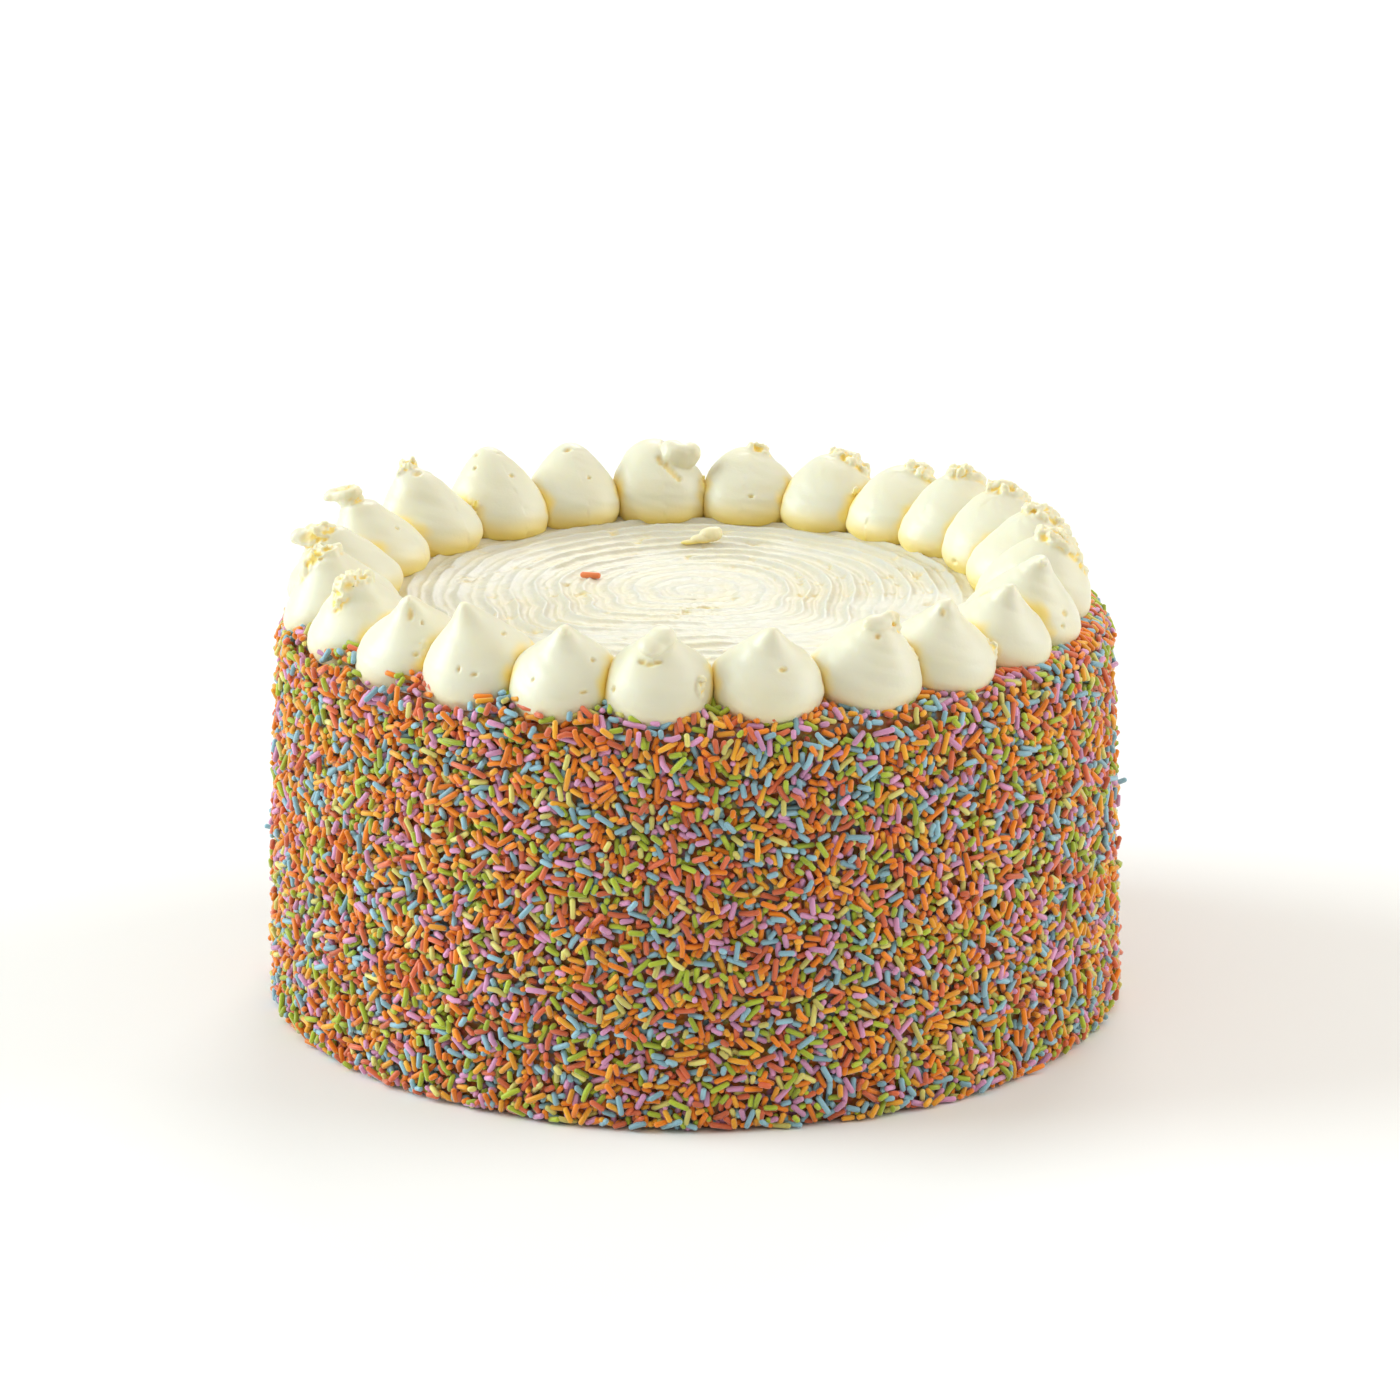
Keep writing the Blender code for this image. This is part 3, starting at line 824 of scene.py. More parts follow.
# Sprinkles that stick out of the side, as in the solids: azimuth, height, and angle above the horizon
STRAY_RODS = (
    (0.0, 33.0 * MM, 14.0),
    (90.0, 52.0 * MM, 22.0),
    (180.0, 44.0 * MM, 10.0),
    (270.0, 40.0 * MM, 16.0),
)
STRAY_REACH = 105.8 * MM
STRAY_LENGTH = 6.2 * MM
LOWEST_ROD = 0.05 * MM  # above the floor
BENT_SHARE = 0.35
BENT_FROM = 4.0 * MM  # shorter rods are straight
BEND = (0.15, 0.6)  # in millimetres


def stray_rods():
    """Centres, unit directions and lengths of the sprinkles that stick out."""
    centres, directions = [], []
    for azimuth_deg, height, rise_deg in STRAY_RODS:
        rise = math.radians(rise_deg)
        away = outward(math.radians(azimuth_deg))
        along = away * math.cos(rise) + UP * math.sin(rise)
        centres.append(away * STRAY_REACH + UP * height - along * STRAY_LENGTH / 2)
        directions.append(along)
    return np.array(centres), np.array(directions), np.full(len(STRAY_RODS), STRAY_LENGTH)


def rod_tree():
    """Puts a round-ended rod on every point, as long, turned and bent as the point says."""
    make = TreeMaker(bpy.data.node_groups.new("rod_sprinkles", "GeometryNodeTree"))
    make.add_input("Points", "NodeSocketGeometry")
    make.add_input("Rod radius", "NodeSocketFloat")
    make.add_input("Sides", "NodeSocketInt", 6)
    make.add_input("Material", "NodeSocketMaterial")
    given = make.given()

    def rod(rings):
        """A ball whose halves are marked -1 and 1, to be pulled apart along the rod."""
        sizes = {"Segments": given["Sides"], "Rings": rings, "Radius": given["Rod radius"]}
        ball = make.node("GeometryNodeMeshUVSphere", sizes)
        place = make.parts(make.node("GeometryNodeInputPosition").outputs[0])
        share = make.math("DIVIDE", place["Z"], make.times(given["Rod radius"], 0.25))
        end = make.node("ShaderNodeClamp", {"Value": share, "Min": -1.0, "Max": 1.0}).outputs[0]
        marked = make.store(ball.outputs["Mesh"], "end", end)
        return make.node("GeometryNodeGeometryToInstance", {0: marked}).outputs[0]

    kinds = make.node("GeometryNodeJoinGeometry")
    for rings in (6, 5):
        make.link(rod(rings), kinds.inputs[0])
    rotation = make.node("FunctionNodeEulerToRotation", {0: make.named("turn", "FLOAT_VECTOR")}).outputs[0]
    copies = {
        "Points": given["Points"],
        "Instance": kinds.outputs[0],
        "Pick Instance": True,
        "Instance Index": make.named("kind", "INT"),
        "Rotation": rotation,
    }
    placed = make.node("GeometryNodeInstanceOnPoints", copies)
    real = make.node("GeometryNodeRealizeInstances", {0: placed.outputs[0]})
    end = make.named("end", "FLOAT")
    middle = make.minus(1.0, make.math("ABSOLUTE", end))
    amount = {0: make.named("bend", "FLOAT_VECTOR"), "Scale": middle}
    bend = make.node("ShaderNodeVectorMath", amount, operation="SCALE").outputs[0]
    pull = make.point(Z=make.times(end, make.named("half", "FLOAT")))
    local = make.node("ShaderNodeVectorMath", {0: pull, 1: bend}, operation="ADD").outputs[0]
    offset = make.node("FunctionNodeRotateVector", {"Vector": local, "Rotation": rotation}).outputs[0]
    moved = make.node("GeometryNodeSetPosition", {"Geometry": real.outputs[0], "Offset": offset})
    smooth = make.node("GeometryNodeSetShadeSmooth", {"Geometry": moved.outputs[0]})
    return make.end(smooth.outputs[0], given["Material"])


def apply_tree(obj, tree, values):
    """Runs a node group on an object with its inputs set by name, and keeps the result as a plain mesh."""
    modifier = obj.modifiers.new("nodes", "NODES")
    modifier.node_group = tree
    for item in tree.interface.items_tree:
        if item.item_type == "SOCKET" and item.in_out == "INPUT" and item.name in values:
            modifier[item.identifier] = values[item.name]
    bake_modifiers(obj)


def rod_points(name, centres, directions, lengths, radius, draw):
    """A mesh of bare points that carry each rod's turn, length, bend and tint."""
    mesh = mesh_of(name, centres, [])
    count = len(centres)
    lean = np.arccos(np.clip(directions[:, 2], -1, 1))
    heading = np.arctan2(directions[:, 1], directions[:, 0])
    store_vectors(mesh, "turn", np.stack([np.zeros(count), lean, heading], 1))
    bent = (draw.random(count) < BENT_SHARE) & (lengths > BENT_FROM)
    kind = mesh.attributes.new("kind", "INT", "POINT")
    kind.data.foreach_set("value", bent.astype(np.int32))
    roll = draw.uniform(0, 2 * math.pi, count)
    amount = np.where(bent, draw.uniform(*BEND, count) * MM, 0.0)
    store_vectors(mesh, "bend", np.stack([np.cos(roll) * amount, np.sin(roll) * amount, np.zeros(count)], 1))
    store(mesh, "half", np.maximum(lengths / 2 - radius, 0.0))
    store(mesh, "tint", draw.random(count))
    return mesh


class CAKE_OT_side(Operator):
    """Build the icing bed of the side and the rod sprinkles on it."""

    bl_idname = "cake.side"
    bl_label = "Sprinkled Side"

    def execute(self, context):
        settings = context.scene.cake_side
        self.build_bed(settings)
        rods = Rods(settings)
        rods.push_in_ends(settings.end_count)
        rods.lay_flat(settings.rod_count)
        rods.lay_fringe(settings.fringe_count)
        rods.drop_hidden()
        laid = [np.concatenate(pair) for pair in zip(rods.in_cake(), stray_rods())]
        self.build_rods(settings, *laid, rods.draw)
        return {"FINISHED"}

    def build_bed(self, settings):
        """The cake's body inside the sprinkles: a closed turned solid."""
        path = SidePath(settings.bed_depth)
        steps = 240
        profile = [(path.points[0, 0] - 1.0 * MM, 0.0)]
        profile += [tuple(point) for point in path.points[4::4]]
        profile.append((BED_INNER_END, icing_level(BED_INNER_END) - BED_TOP_DEPTH))
        azimuth = np.arange(steps) / steps * 2 * math.pi
        rings = [outward(azimuth) * radius + UP * height for radius, height in profile]
        points = np.concatenate([[(0.0, 0.0, 0.0)], *rings, [(0.0, 0.0, CAKE_HEIGHT - BED_TOP_DEPTH)]])
        mesh = mesh_of("sprinkle_bed", points, ring_faces(steps, len(rings)))
        mesh.materials.append(bed_material("sprinkle_bed", settings))
        mesh.shade_smooth()
        settle(new_object("sprinkle_bed", mesh), "buttercream", "sprinkled_cake")

    def build_rods(self, settings, centres, directions, lengths, draw):
        """One piece for each colour, all made by one node group."""
        names = [name for name, _ in COLOUR_SHARES]
        shares = np.array([share for _, share in COLOUR_SHARES])
        colour = draw.choice(len(names), len(centres), p=shares / shares.sum())
        tree = rod_tree()
        radius = settings.rod_radius
        for number, colour_name in enumerate(names):
            mine = colour == number
            name = f"rods_{colour_name}"
            mesh = rod_points(name, centres[mine], directions[mine], lengths[mine], radius, draw)
            piece = new_object(name, mesh)
            material = rod_material(name, getattr(settings, colour_name))
            apply_tree(piece, tree, {"Rod radius": radius, "Sides": 6, "Material": material})
            points = coordinates(piece.data)
            points[:, 2] = np.maximum(points[:, 2], LOWEST_ROD)
            set_coordinates(piece.data, points)
            settle(piece, "sprinkle_coat", "sprinkled_cake")


# The top icing

ICING_SIZES = {
    "Radius": ICING_RADIUS,
    "Level": CAKE_HEIGHT,
    "Depth": ICING_DEPTH,
    "Rim fall": RIM_FALL,
    "Rim fall start": RIM_FALL_START,
    "Rim radius": RIM_RADIUS,
}
ICING_RINGS = 240
ICING_STEPS = 400
WALL_START = 0.96  # of the disc's grid, whose parts are the top, the wall and the underside
WALL_END = 0.985
COMB_CENTRE = (-1.0 * MM, 9.0 * MM, 0.0)
COMB_WARP = 9.0 * MM
COMB_WOBBLE = 1.6 * MM


def icing_tree():
    """A closed disc of buttercream, combed into rings that break up towards the middle."""
    make = TreeMaker(bpy.data.node_groups.new("combed_icing", "GeometryNodeTree"))
    times, plus, minus, ranged = make.times, make.plus, make.minus, make.ranged
    make.add_input("Geometry", "NodeSocketGeometry")
    for name, size in ICING_SIZES.items():
        make.add_input(name, "NodeSocketFloat", size)
    for name in ("Comb pitch", "Comb rise", "Tear depth", "Seed"):
        make.add_input(name, "NodeSocketFloat")
    make.add_input("Rings", "NodeSocketInt", ICING_RINGS)
    make.add_input("Steps", "NodeSocketInt", ICING_STEPS)
    make.add_input("Comb centre", "NodeSocketVector", COMB_CENTRE)
    make.add_input("Material", "NodeSocketMaterial")
    given = make.given()

    def noise_at(place, scale, detail, roughness=0.5):
        values = {"Vector": place, "W": given["Seed"]}
        values |= {"Scale": scale, "Detail": detail, "Roughness": roughness}
        return make.node("ShaderNodeTexNoise", values, noise_dimensions="4D").outputs[0]

    def uneven(scale, detail, roughness=0.5):
        """Noise about nought over the icing."""
        return minus(noise_at(flat, scale, detail, roughness), 0.5)

    # The flat disc
    sizes = {"Size X": 1.0, "Size Y": 1.0, "Vertices X": given["Rings"], "Vertices Y": given["Steps"]}
    grid = make.node("GeometryNodeMeshGrid", sizes)
    square = make.parts(make.node("GeometryNodeInputPosition").outputs[0])
    along = plus(square["X"], 0.5)
    turn = times(plus(square["Y"], 0.5), 2 * math.pi)
    spread = times(given["Radius"], ranged(along, 0.0, WALL_START, kind="LINEAR"))
    radius = times(spread, ranged(along, WALL_END, 1.0, 1.0, 0.0, kind="LINEAR"))
    x = times(radius, make.math("COSINE", turn))
    y = times(radius, make.math("SINE", turn))
    flat = make.point(X=x, Y=y)

    # The fall towards the rim
    past = make.math("MAXIMUM", minus(radius, given["Rim fall start"]), 0.0)
    share = make.math("DIVIDE", past, minus(given["Rim radius"], given["Rim fall start"]))
    fall = times(given["Rim fall"], make.math("POWER", share, 2.0))

    # The comb lines: rings round an off-centre point, closer together towards the front
    warp = uneven(22.0, 2.0)
    wobble = uneven(120.0, 2.0)
    centre = given["Comb centre"]
    from_centre = make.node("ShaderNodeVectorMath", {0: flat, 1: centre}, operation="SUBTRACT").outputs[0]
    offset = make.parts(from_centre)
    distance = make.math("MAXIMUM", make.length(from_centre), 0.1 * MM)
    frontness = make.math("DIVIDE", times(offset["Y"], -1.0), distance)
    narrowed = times(offset["X"], ranged(frontness, 0.35, 0.95, 1.0, 0.45))
    reach = make.length(make.point(X=narrowed, Y=offset["Y"]))
    drift = times(turn, make.math("DIVIDE", given["Comb pitch"], 2 * math.pi))
    bent = plus(plus(plus(reach, times(warp, COMB_WARP)), times(wobble, COMB_WOBBLE)), drift)
    phase = times(make.math("DIVIDE", bent, given["Comb pitch"]), math.pi)
    trough = make.math("ABSOLUTE", make.math("SINE", phase))
    crest = make.math("POWER", minus(1.0, trough), 1.8)
    minor_trough = make.math("ABSOLUTE", make.math("SINE", times(phase, 2.0)))
    minor_crest = times(make.math("POWER", minus(1.0, minor_trough), 2.4), 0.4)
    line = make.math("MAXIMUM", crest, minor_crest)

    # Where the lines are weak: in patches, in the smear and in the middle
    smeared = times(ranged(x, 4.0 * MM, 12.0 * MM), ranged(y, -6.0 * MM, -24.0 * MM))
    patch = ranged(noise_at(flat, 26.0, 3.0), 0.36, 0.56, 0.3, 1.0)
    patch = times(patch, minus(1.0, times(smeared, 0.6)))
    inner = ranged(reach, 12.0 * MM, 38.0 * MM, 0.3, 1.0)
    comb = times(times(line, given["Comb rise"]), times(patch, inner))

    # Tears, grain and long waves
    marks = ranged(noise_at(flat, 170.0, 3.0, 0.6), 0.57, 0.66)
    tear = times(marks, ranged(noise_at(flat, 30.0, 1.0), 0.42, 0.6))
    rough = times(uneven(380.0, 4.0, 0.6), 0.7 * MM)
    wave = times(uneven(35.0, 1.0), 1.2 * MM)
    settled = minus(minus(comb, times(tear, given["Tear depth"])), times(given["Comb rise"], 0.3))
    relief = times(plus(settled, plus(rough, wave)), ranged(radius, 88.0 * MM, 70.0 * MM, 0.15, 1.0))

    surface = minus(plus(given["Level"], relief), fall)
    underside = minus(given["Level"], given["Depth"])
    wall = ranged(along, WALL_START, WALL_END, kind="LINEAR")
    height = make.node("ShaderNodeMix", {"Factor": wall, 2: surface, 3: underside}, data_type="FLOAT")
    place = make.point(X=x, Y=y, Z=height.outputs[0])
    # Painted shade: the comb troughs and the torn marks are painted towards the warm yellow of cream in shade.
    crease = plus(times(tear, 0.45), times(trough, patch, 0.16))
    creased = make.store(grid.outputs["Mesh"], "crease", crease)
    laid = make.node("GeometryNodeSetPosition", {"Geometry": creased, "Position": place})
    closed = make.node("GeometryNodeMergeByDistance", {"Geometry": laid.outputs[0], "Distance": 0.01 * MM})
    smooth = make.node("GeometryNodeSetShadeSmooth", {"Geometry": closed.outputs[0]})
    real = make.node("GeometryNodeRealizeInstances", {0: smooth.outputs[0]})
    return make.end(real.outputs[0], given["Material"])


def face_outward(mesh):
    """Turns every face outward."""
    cage = bmesh.new()
    cage.from_mesh(mesh)
    bmesh.ops.recalc_face_normals(cage, faces=cage.faces)
    cage.to_mesh(mesh)
    cage.free()


LOOSE_ROD_PLACE = (-25.7 * MM, 18.7 * MM)
LOOSE_ROD_TURN = math.radians(-12.0)
LOOSE_ROD_LENGTH = 5.0 * MM
LOOSE_ROD_RADIUS = 0.85 * MM
LOOSE_ROD_RISE = 0.35  # of its radius, from the highest icing under it to its axis


class CAKE_OT_icing(Operator):
    """Build the combed icing on top, with the one sprinkle that lies on it."""

    bl_idname = "cake.icing"
    bl_label = "Top Icing"

    def execute(self, context):
        cream = context.scene.cake_cream
        piece = new_object("top_icing_cream", bpy.data.meshes.new("top_icing_cream"))
        values = {
            **ICING_SIZES,
            "Rings": ICING_RINGS,
            "Steps": ICING_STEPS,
            "Comb pitch": cream.comb_pitch,
            "Comb rise": cream.comb_rise,
            "Tear depth": cream.tear_depth,
            "Seed": float(cream.seed),
            # Painted shade: the top's cream is darker than the dollops' to make up for the stronger light on
            # it.
            "Material": cream_material("top_icing_cream", cream.dimmed_top_cream, cream, 0.3 * MM),
        }
        apply_tree(piece, icing_tree(), values)
        face_outward(piece.data)
        settle(piece, "buttercream", "top_icing")
        self.build_loose_rod(context.scene.cake_side, piece.data)
        return {"FINISHED"}

    def build_loose_rod(self, side, icing):
        """The sprinkle that fell on the icing and sank in a little."""
        draw = np.random.default_rng(side.seed)
        surface = coordinates(icing)
        near = np.hypot(*(surface[:, :2] - LOOSE_ROD_PLACE).T) < LOOSE_ROD_LENGTH / 2
        rest = surface[near, 2].max() + LOOSE_ROD_RADIUS * LOOSE_ROD_RISE
        centre = np.array([[*LOOSE_ROD_PLACE, rest]])
        along = np.array([[math.cos(LOOSE_ROD_TURN), math.sin(LOOSE_ROD_TURN), 0.0]])
        mesh = rod_points("loose_rod", centre, along, np.array([LOOSE_ROD_LENGTH]), side.rod_radius, draw)
        piece = new_object("loose_rod", mesh)
        material = rod_material("loose_rod", side.loose_colour)
        apply_tree(piece, rod_tree(), {"Rod radius": LOOSE_ROD_RADIUS, "Sides": 12, "Material": material})
        settle(piece, "sprinkle_coat", "top_icing")


# The dollops

# How much lower than its tip a bulb ends where a lobe or a torn crest makes the tip
BULB_DROP = {
    "hooded": 0.5 * MM,
    "broken": 1.6 * MM,
    "outward_curl": 2.6 * MM,
    "cupped": 1.2 * MM,
    "torn": 1.2 * MM,
    "crumbled": 2.0 * MM,
    "flap": 0.8 * MM,
}

# Smooth lobes of cream at a tip: place as (round the ring, outward, up) from the tip and half sizes, in
# millimetres, and a turn about the vertical in degrees
TIP_LOBES = {
    "hooded": (((-1.5, 2.2, -3.5), (3.5, 3.2, 2.1), 0.0), ((0.3, 0.4, -2.7), (3.6, 3.3, 2.6), 0.0)),
    "hooked": (((-1.2, 0.5, -0.9), (1.7, 1.2, 1.0), 0.0), ((-2.4, 0.4, -0.6), (1.3, 0.9, 0.7), 0.0)),
    "nicked": (((0.6, 0.0, -1.2), (1.3, 1.1, 1.2), 0.0), ((1.8, 0.4, -2.4), (1.1, 0.9, 1.1), 0.0)),
    "pointed": (((0.6, 0.3, -0.7), (0.9, 0.8, 0.9), 0.0),),
    "soft_peak": (((0.0, 0.2, -1.3), (1.7, 1.6, 1.3), 0.0),),
    "broken": (
        ((-1.2, 0.4, -1.9), (3.6, 1.9, 1.7), 8.0),
        ((1.4, 0.3, -0.9), (2.0, 1.3, 1.1), 0.0),
        ((3.5, 0.3, -1.5), (1.0, 0.8, 1.3), 0.0),
        ((3.9, 0.3, -3.2), (0.8, 0.8, 1.2), 0.0),
        ((2.9, 0.4, -4.6), (1.1, 0.9, 0.9), 0.0),
    ),
    "flap": (((-3.6, 1.6, -1.6), (3.4, 2.6, 1.9), 10.0),),
    "curl": (
        ((-7.4, -8.0, -3.6), (4.7, 2.8, 3.6), 0.0),
        ((-10.0, -7.4, -2.8), (2.8, 2.8, 3.0), 0.0),
        ((-5.6, -6.4, -2.0), (3.0, 3.0, 2.4), 0.0),
    ),
    "outward_curl": (
        ((0.6, 1.8, -0.5), (3.0, 4.8, 1.9), 4.0),
        ((0.6, 5.0, -0.4), (2.6, 2.8, 1.7), 0.0),
        ((0.0, 0.4, -2.4), (3.2, 3.2, 1.9), 0.0),
    ),
    "cupped": (
        ((1.2, 2.6, -2.3), (3.0, 4.6, 2.6), 6.0),
        ((0.8, 5.6, -1.8), (2.4, 2.4, 2.2), 0.0),
        ((2.4, 1.4, -1.0), (2.0, 2.4, 1.3), 0.0),
    ),
}

# Torn parts at a tip: middle from the tip as (round the ring, outward) and half extents, in millimetres, and
# how many flakes and lumps lie there on the bulb's skin
TIP_FLAKES = {
    "torn": ((-0.4, 1.7), (4.0, 5.6), 64),
    "flap": ((-4.0, 1.6), (4.8, 4.0), 52),
    "crumbled": ((-0.4, -0.6), (2.9, 4.8), 48),
    "broken": ((3.0, 0.2), (1.6, 1.4), 4),
    "chipped": ((0.2, 0.2), (2.6, 2.2), 8),
    "outward_curl": ((0.4, -1.0), (2.2, 1.8), 4),
    "cupped": ((1.4, 0.0), (3.0, 3.4), 8),
    "round": ((-3.2, 0.4), (3.0, 2.4), 9),
}

# Small tears where dollops were pulled apart: dollop, middle as (round the ring, outward, up) and half
# extents, in millimetres, and how many flakes
SEAM_TEARS = (
    (0, (10.6, 8.0, 7.4), (0.8, 1.6, 2.2), 5),
    (3, (8.4, 9.6, 7.0), (1.0, 1.6, 2.6), 6),
    (2, (10.2, 6.0, 8.6), (0.6, 1.4, 2.4), 4),
    (15, (10.8, -5.6, 10.0), (0.8, 1.6, 2.2), 6),
    (16, (-10.4, -6.4, 7.0), (0.8, 1.4, 1.6), 4),
    (11, (-10.0, -6.0, 9.0), (0.6, 1.2, 2.4), 4),
    (13, (-10.8, -6.2, 8.4), (0.6, 1.2, 2.4), 4),
    (21, (10.4, 5.4, 9.0), (0.6, 1.4, 1.8), 4),
)

# Half sizes of flakes and lumps and how high they lie over the skin, from least to most, in millimetres
FLAKE_SIZES = ((0.8, 1.9), (0.35, 0.7), (0.7, 1.4))
LUMP_SIZES = ((1.2, 2.0), (0.9, 1.4), (0.7, 1.1))
FLAKE_RISE = (-0.3, 1.1)
SEAM_FLAKE_SCALE = 0.6

# Air holes and slots: dollop, place as (round the ring, outward, up) and half sizes, in millimetres
AIR_HOLES = (
    (0, (-9.4, 9.1, 7.0), (0.7, 0.7, 0.7)),
    (0, (-2.8, 9.6, 14.0), (1.3, 1.6, 0.55)),
    (0, (-1.0, 10.0, 13.7), (1.5, 1.6, 0.5)),
    (0, (0.8, 9.8, 13.9), (1.3, 1.6, 0.5)),
    (1, (1.8, 10.2, 11.6), (1.3, 0.8, 0.7)),
    (2, (-3.0, -4.1, 13.4), (1.3, 1.1, 1.0)),
    (2, (-1.2, 9.0, 16.2), (0.9, 0.9, 0.8)),
    (3, (-3.3, 5.7, 17.2), (0.8, 0.8, 1.2)),
    (5, (-4.7, 12.5, 8.8), (1.3, 1.0, 0.8)),
    (5, (-6.5, 11.8, 5.9), (0.8, 0.8, 0.6)),
    (8, (-3.3, -13.0, 2.5), (1.2, 0.9, 0.7)),
    (12, (-2.2, -11.3, 7.0), (0.9, 0.7, 0.6)),
    (13, (0.4, -6.0, 16.0), (1.1, 1.6, 1.1)),
    (13, (-0.4, -6.6, 15.2), (1.2, 1.6, 1.2)),
    (13, (-1.1, -7.1, 14.3), (1.2, 1.6, 1.3)),
    (13, (-1.8, -7.6, 13.4), (1.2, 1.6, 1.3)),
    (13, (-2.5, -8.2, 12.5), (1.2, 1.6, 1.3)),
    (13, (-3.2, -8.7, 11.6), (1.1, 1.6, 1.2)),
    (13, (-4.0, -9.2, 10.8), (1.0, 1.6, 1.0)),
    (14, (0.6, 0.2, 17.9), (1.6, 0.9, 0.6)),
    (14, (-2.3, -8.0, 12.4), (0.6, 0.6, 0.6)),
    (15, (3.6, 3.3, 19.3), (0.9, 0.9, 1.0)),
    (15, (-1.3, -6.2, 15.0), (0.8, 0.8, 0.8)),
    (15, (6.3, -0.1, 16.8), (0.6, 0.6, 0.9)),
    (16, (3.6, 0.2, 18.7), (1.5, 1.2, 1.0)),
    (17, (2.8, -8.6, 12.3), (0.7, 0.7, 0.8)),
    (17, (4.9, 6.6, 21.2), (1.0, 3.4, 0.7)),
    (18, (7.6, 7.6, 17.0), (2.0, 2.6, 2.0)),
    (18, (7.6, 3.4, 17.4), (0.9, 1.2, 0.8)),
    (19, (5.0, 7.6, 17.6), (1.9, 2.0, 1.9)),
    (19, (3.8, 3.8, 18.4), (1.0, 1.5, 0.9)),
    (19, (5.2, 5.6, 17.0), (0.8, 1.0, 0.7)),
    (20, (7.0, 6.6, 17.6), (1.7, 1.8, 1.7)),
    (20, (5.4, 2.8, 18.2), (1.0, 1.4, 0.9)),
    (21, (6.0, 6.2, 15.8), (0.9, 0.9, 2.3)),
    (21, (8.3, 4.0, 13.8), (0.5, 0.5, 1.0)),
    (21, (10.3, 8.2, 8.4), (1.1, 0.9, 0.6)),
    (22, (7.2, 1.3, 14.1), (0.9, 0.9, 0.6)),
    (22, (1.9, 12.5, 9.5), (0.5, 0.5, 0.9)),
    (22, (6.0, 11.6, 8.3), (1.1, 0.7, 0.5)),
    (23, (7.8, 10.6, 6.8), (1.8, 1.0, 0.45)),
    (23, (8.5, 5.3, 11.6), (0.7, 0.7, 0.6)),
    (23, (-3.9, 11.4, 9.2), (0.4, 0.4, 1.3)),
)
HOLE_DEPTH = 0.75 * MM
TIP_LOSS = 1.0 * MM  # what softening takes off a tip
BULB_STEPS = 72
BULB_ROWS = 46


def turned_bulb(section, half_width, height):
    """Points of a turned bulb about its own axis, foot first, and its faces, closed at both ends."""
    section = np.array(section)
    travel = np.concatenate([[0.0], np.cumsum(np.hypot(*np.diff(section, axis=0).T))])
    sample = np.linspace(0, travel[-1], BULB_ROWS)
    radii = np.interp(sample, travel, section[:, 0]) * half_width
    ups = np.interp(sample, travel, section[:, 1]) * height
    turn = np.arange(BULB_STEPS) / BULB_STEPS * 2 * math.pi
    circle = np.stack([np.cos(turn), np.sin(turn), np.zeros(BULB_STEPS)], 1)
    rings = [circle * radius + UP * up for radius, up in zip(radii, ups)]
    points = np.concatenate([[(0.0, 0.0, 0.0)], *rings, [(0.0, 0.0, height)]])
    return points, ring_faces(BULB_STEPS, BULB_ROWS)


def ball(place, half_sizes, turn, steps=14, rows=9):
    """Points and faces of an ellipsoid. The turn is a 3 by 3 rotation."""
    lean = np.linspace(0, math.pi, rows + 2)[1:-1]
    spin = np.arange(steps) / steps * 2 * math.pi
    circle = np.stack([np.cos(spin), np.sin(spin), np.zeros(steps)], 1)
    rings = [circle * math.sin(a) - UP * math.cos(a) for a in lean]
    points = np.concatenate([[(0.0, 0.0, -1.0)], *rings, [(0.0, 0.0, 1.0)]]) * np.array(half_sizes)
    points = points @ np.array(turn).T + np.array(place)
    return points, ring_faces(steps, rows)


def join_shells(shells):
    """Several closed shells as one list of points and one of faces."""
    faces, count = [], 0
    for points, shell_faces in shells:
        faces += [tuple(corner + count for corner in face) for face in shell_faces]
        count += len(points)
    return np.concatenate([points for points, _ in shells]), faces


def upright_turn(degrees):
    return Matrix.Rotation(math.radians(degrees), 3, "Z")


def any_turn(draw):
    return Euler([draw.uniform(0, 2 * math.pi) for _ in range(3)]).to_matrix()


def noise_values(points, scale, offset):
    """Smooth noise from -1 to 1 at each point."""
    shift = Vector((offset, offset * 0.37, offset * 0.71))
    return np.array([noise.noise(Vector(point) * scale + shift) for point in points])


def skin_height(number, round_ring, out):
    """Height of a bulb's skin over its foot, at a place that far round the ring and outward."""
    _, height, lean_out, lean_round, tip = DOLLOPS[number]
    flank = np.array([point for point in SECTION_OF[tip] if point[1] > 0.14])[::-1]
    top = height + TIP_LOSS - BULB_DROP.get(tip, 0.0)
    up = top
    for _ in range(4):
        lean = (up / (height + TIP_LOSS)) ** 2
        reach = math.hypot(round_ring - lean_round * lean, out - lean_out * lean)
        up = top * np.interp(reach / (DOLLOP_LENGTH / 2), flank[:, 0], flank[:, 1])
    return up


def distance_share(points, middle, extents):
    """Distances from a middle as shares of the extents. The last two are in millimetres."""
    return np.linalg.norm((points - np.array(middle) * MM) / (np.array(extents) * MM), axis=1)


def torn_share(number, local):
    """How torn a dollop is at each point, from 0 to 1, near its tip and its torn seams."""
    _, _, lean_out, lean_round, tip = DOLLOPS[number]
    torn = np.zeros(len(local))
    if tip in TIP_FLAKES:
        middle, extents, _ = TIP_FLAKES[tip]
        share = distance_share(local[:, :2] - np.array([lean_round, lean_out]), middle, extents)
        torn = fade(share, 0.95, 1.25) * smooth_step(local[:, 2], 8.0 * MM, 10.0 * MM)
    for owner, middle, extents, _ in SEAM_TEARS:
        if owner == number:
            torn = np.maximum(torn, fade(distance_share(local, middle, extents), 1.1, 1.5))
    return torn


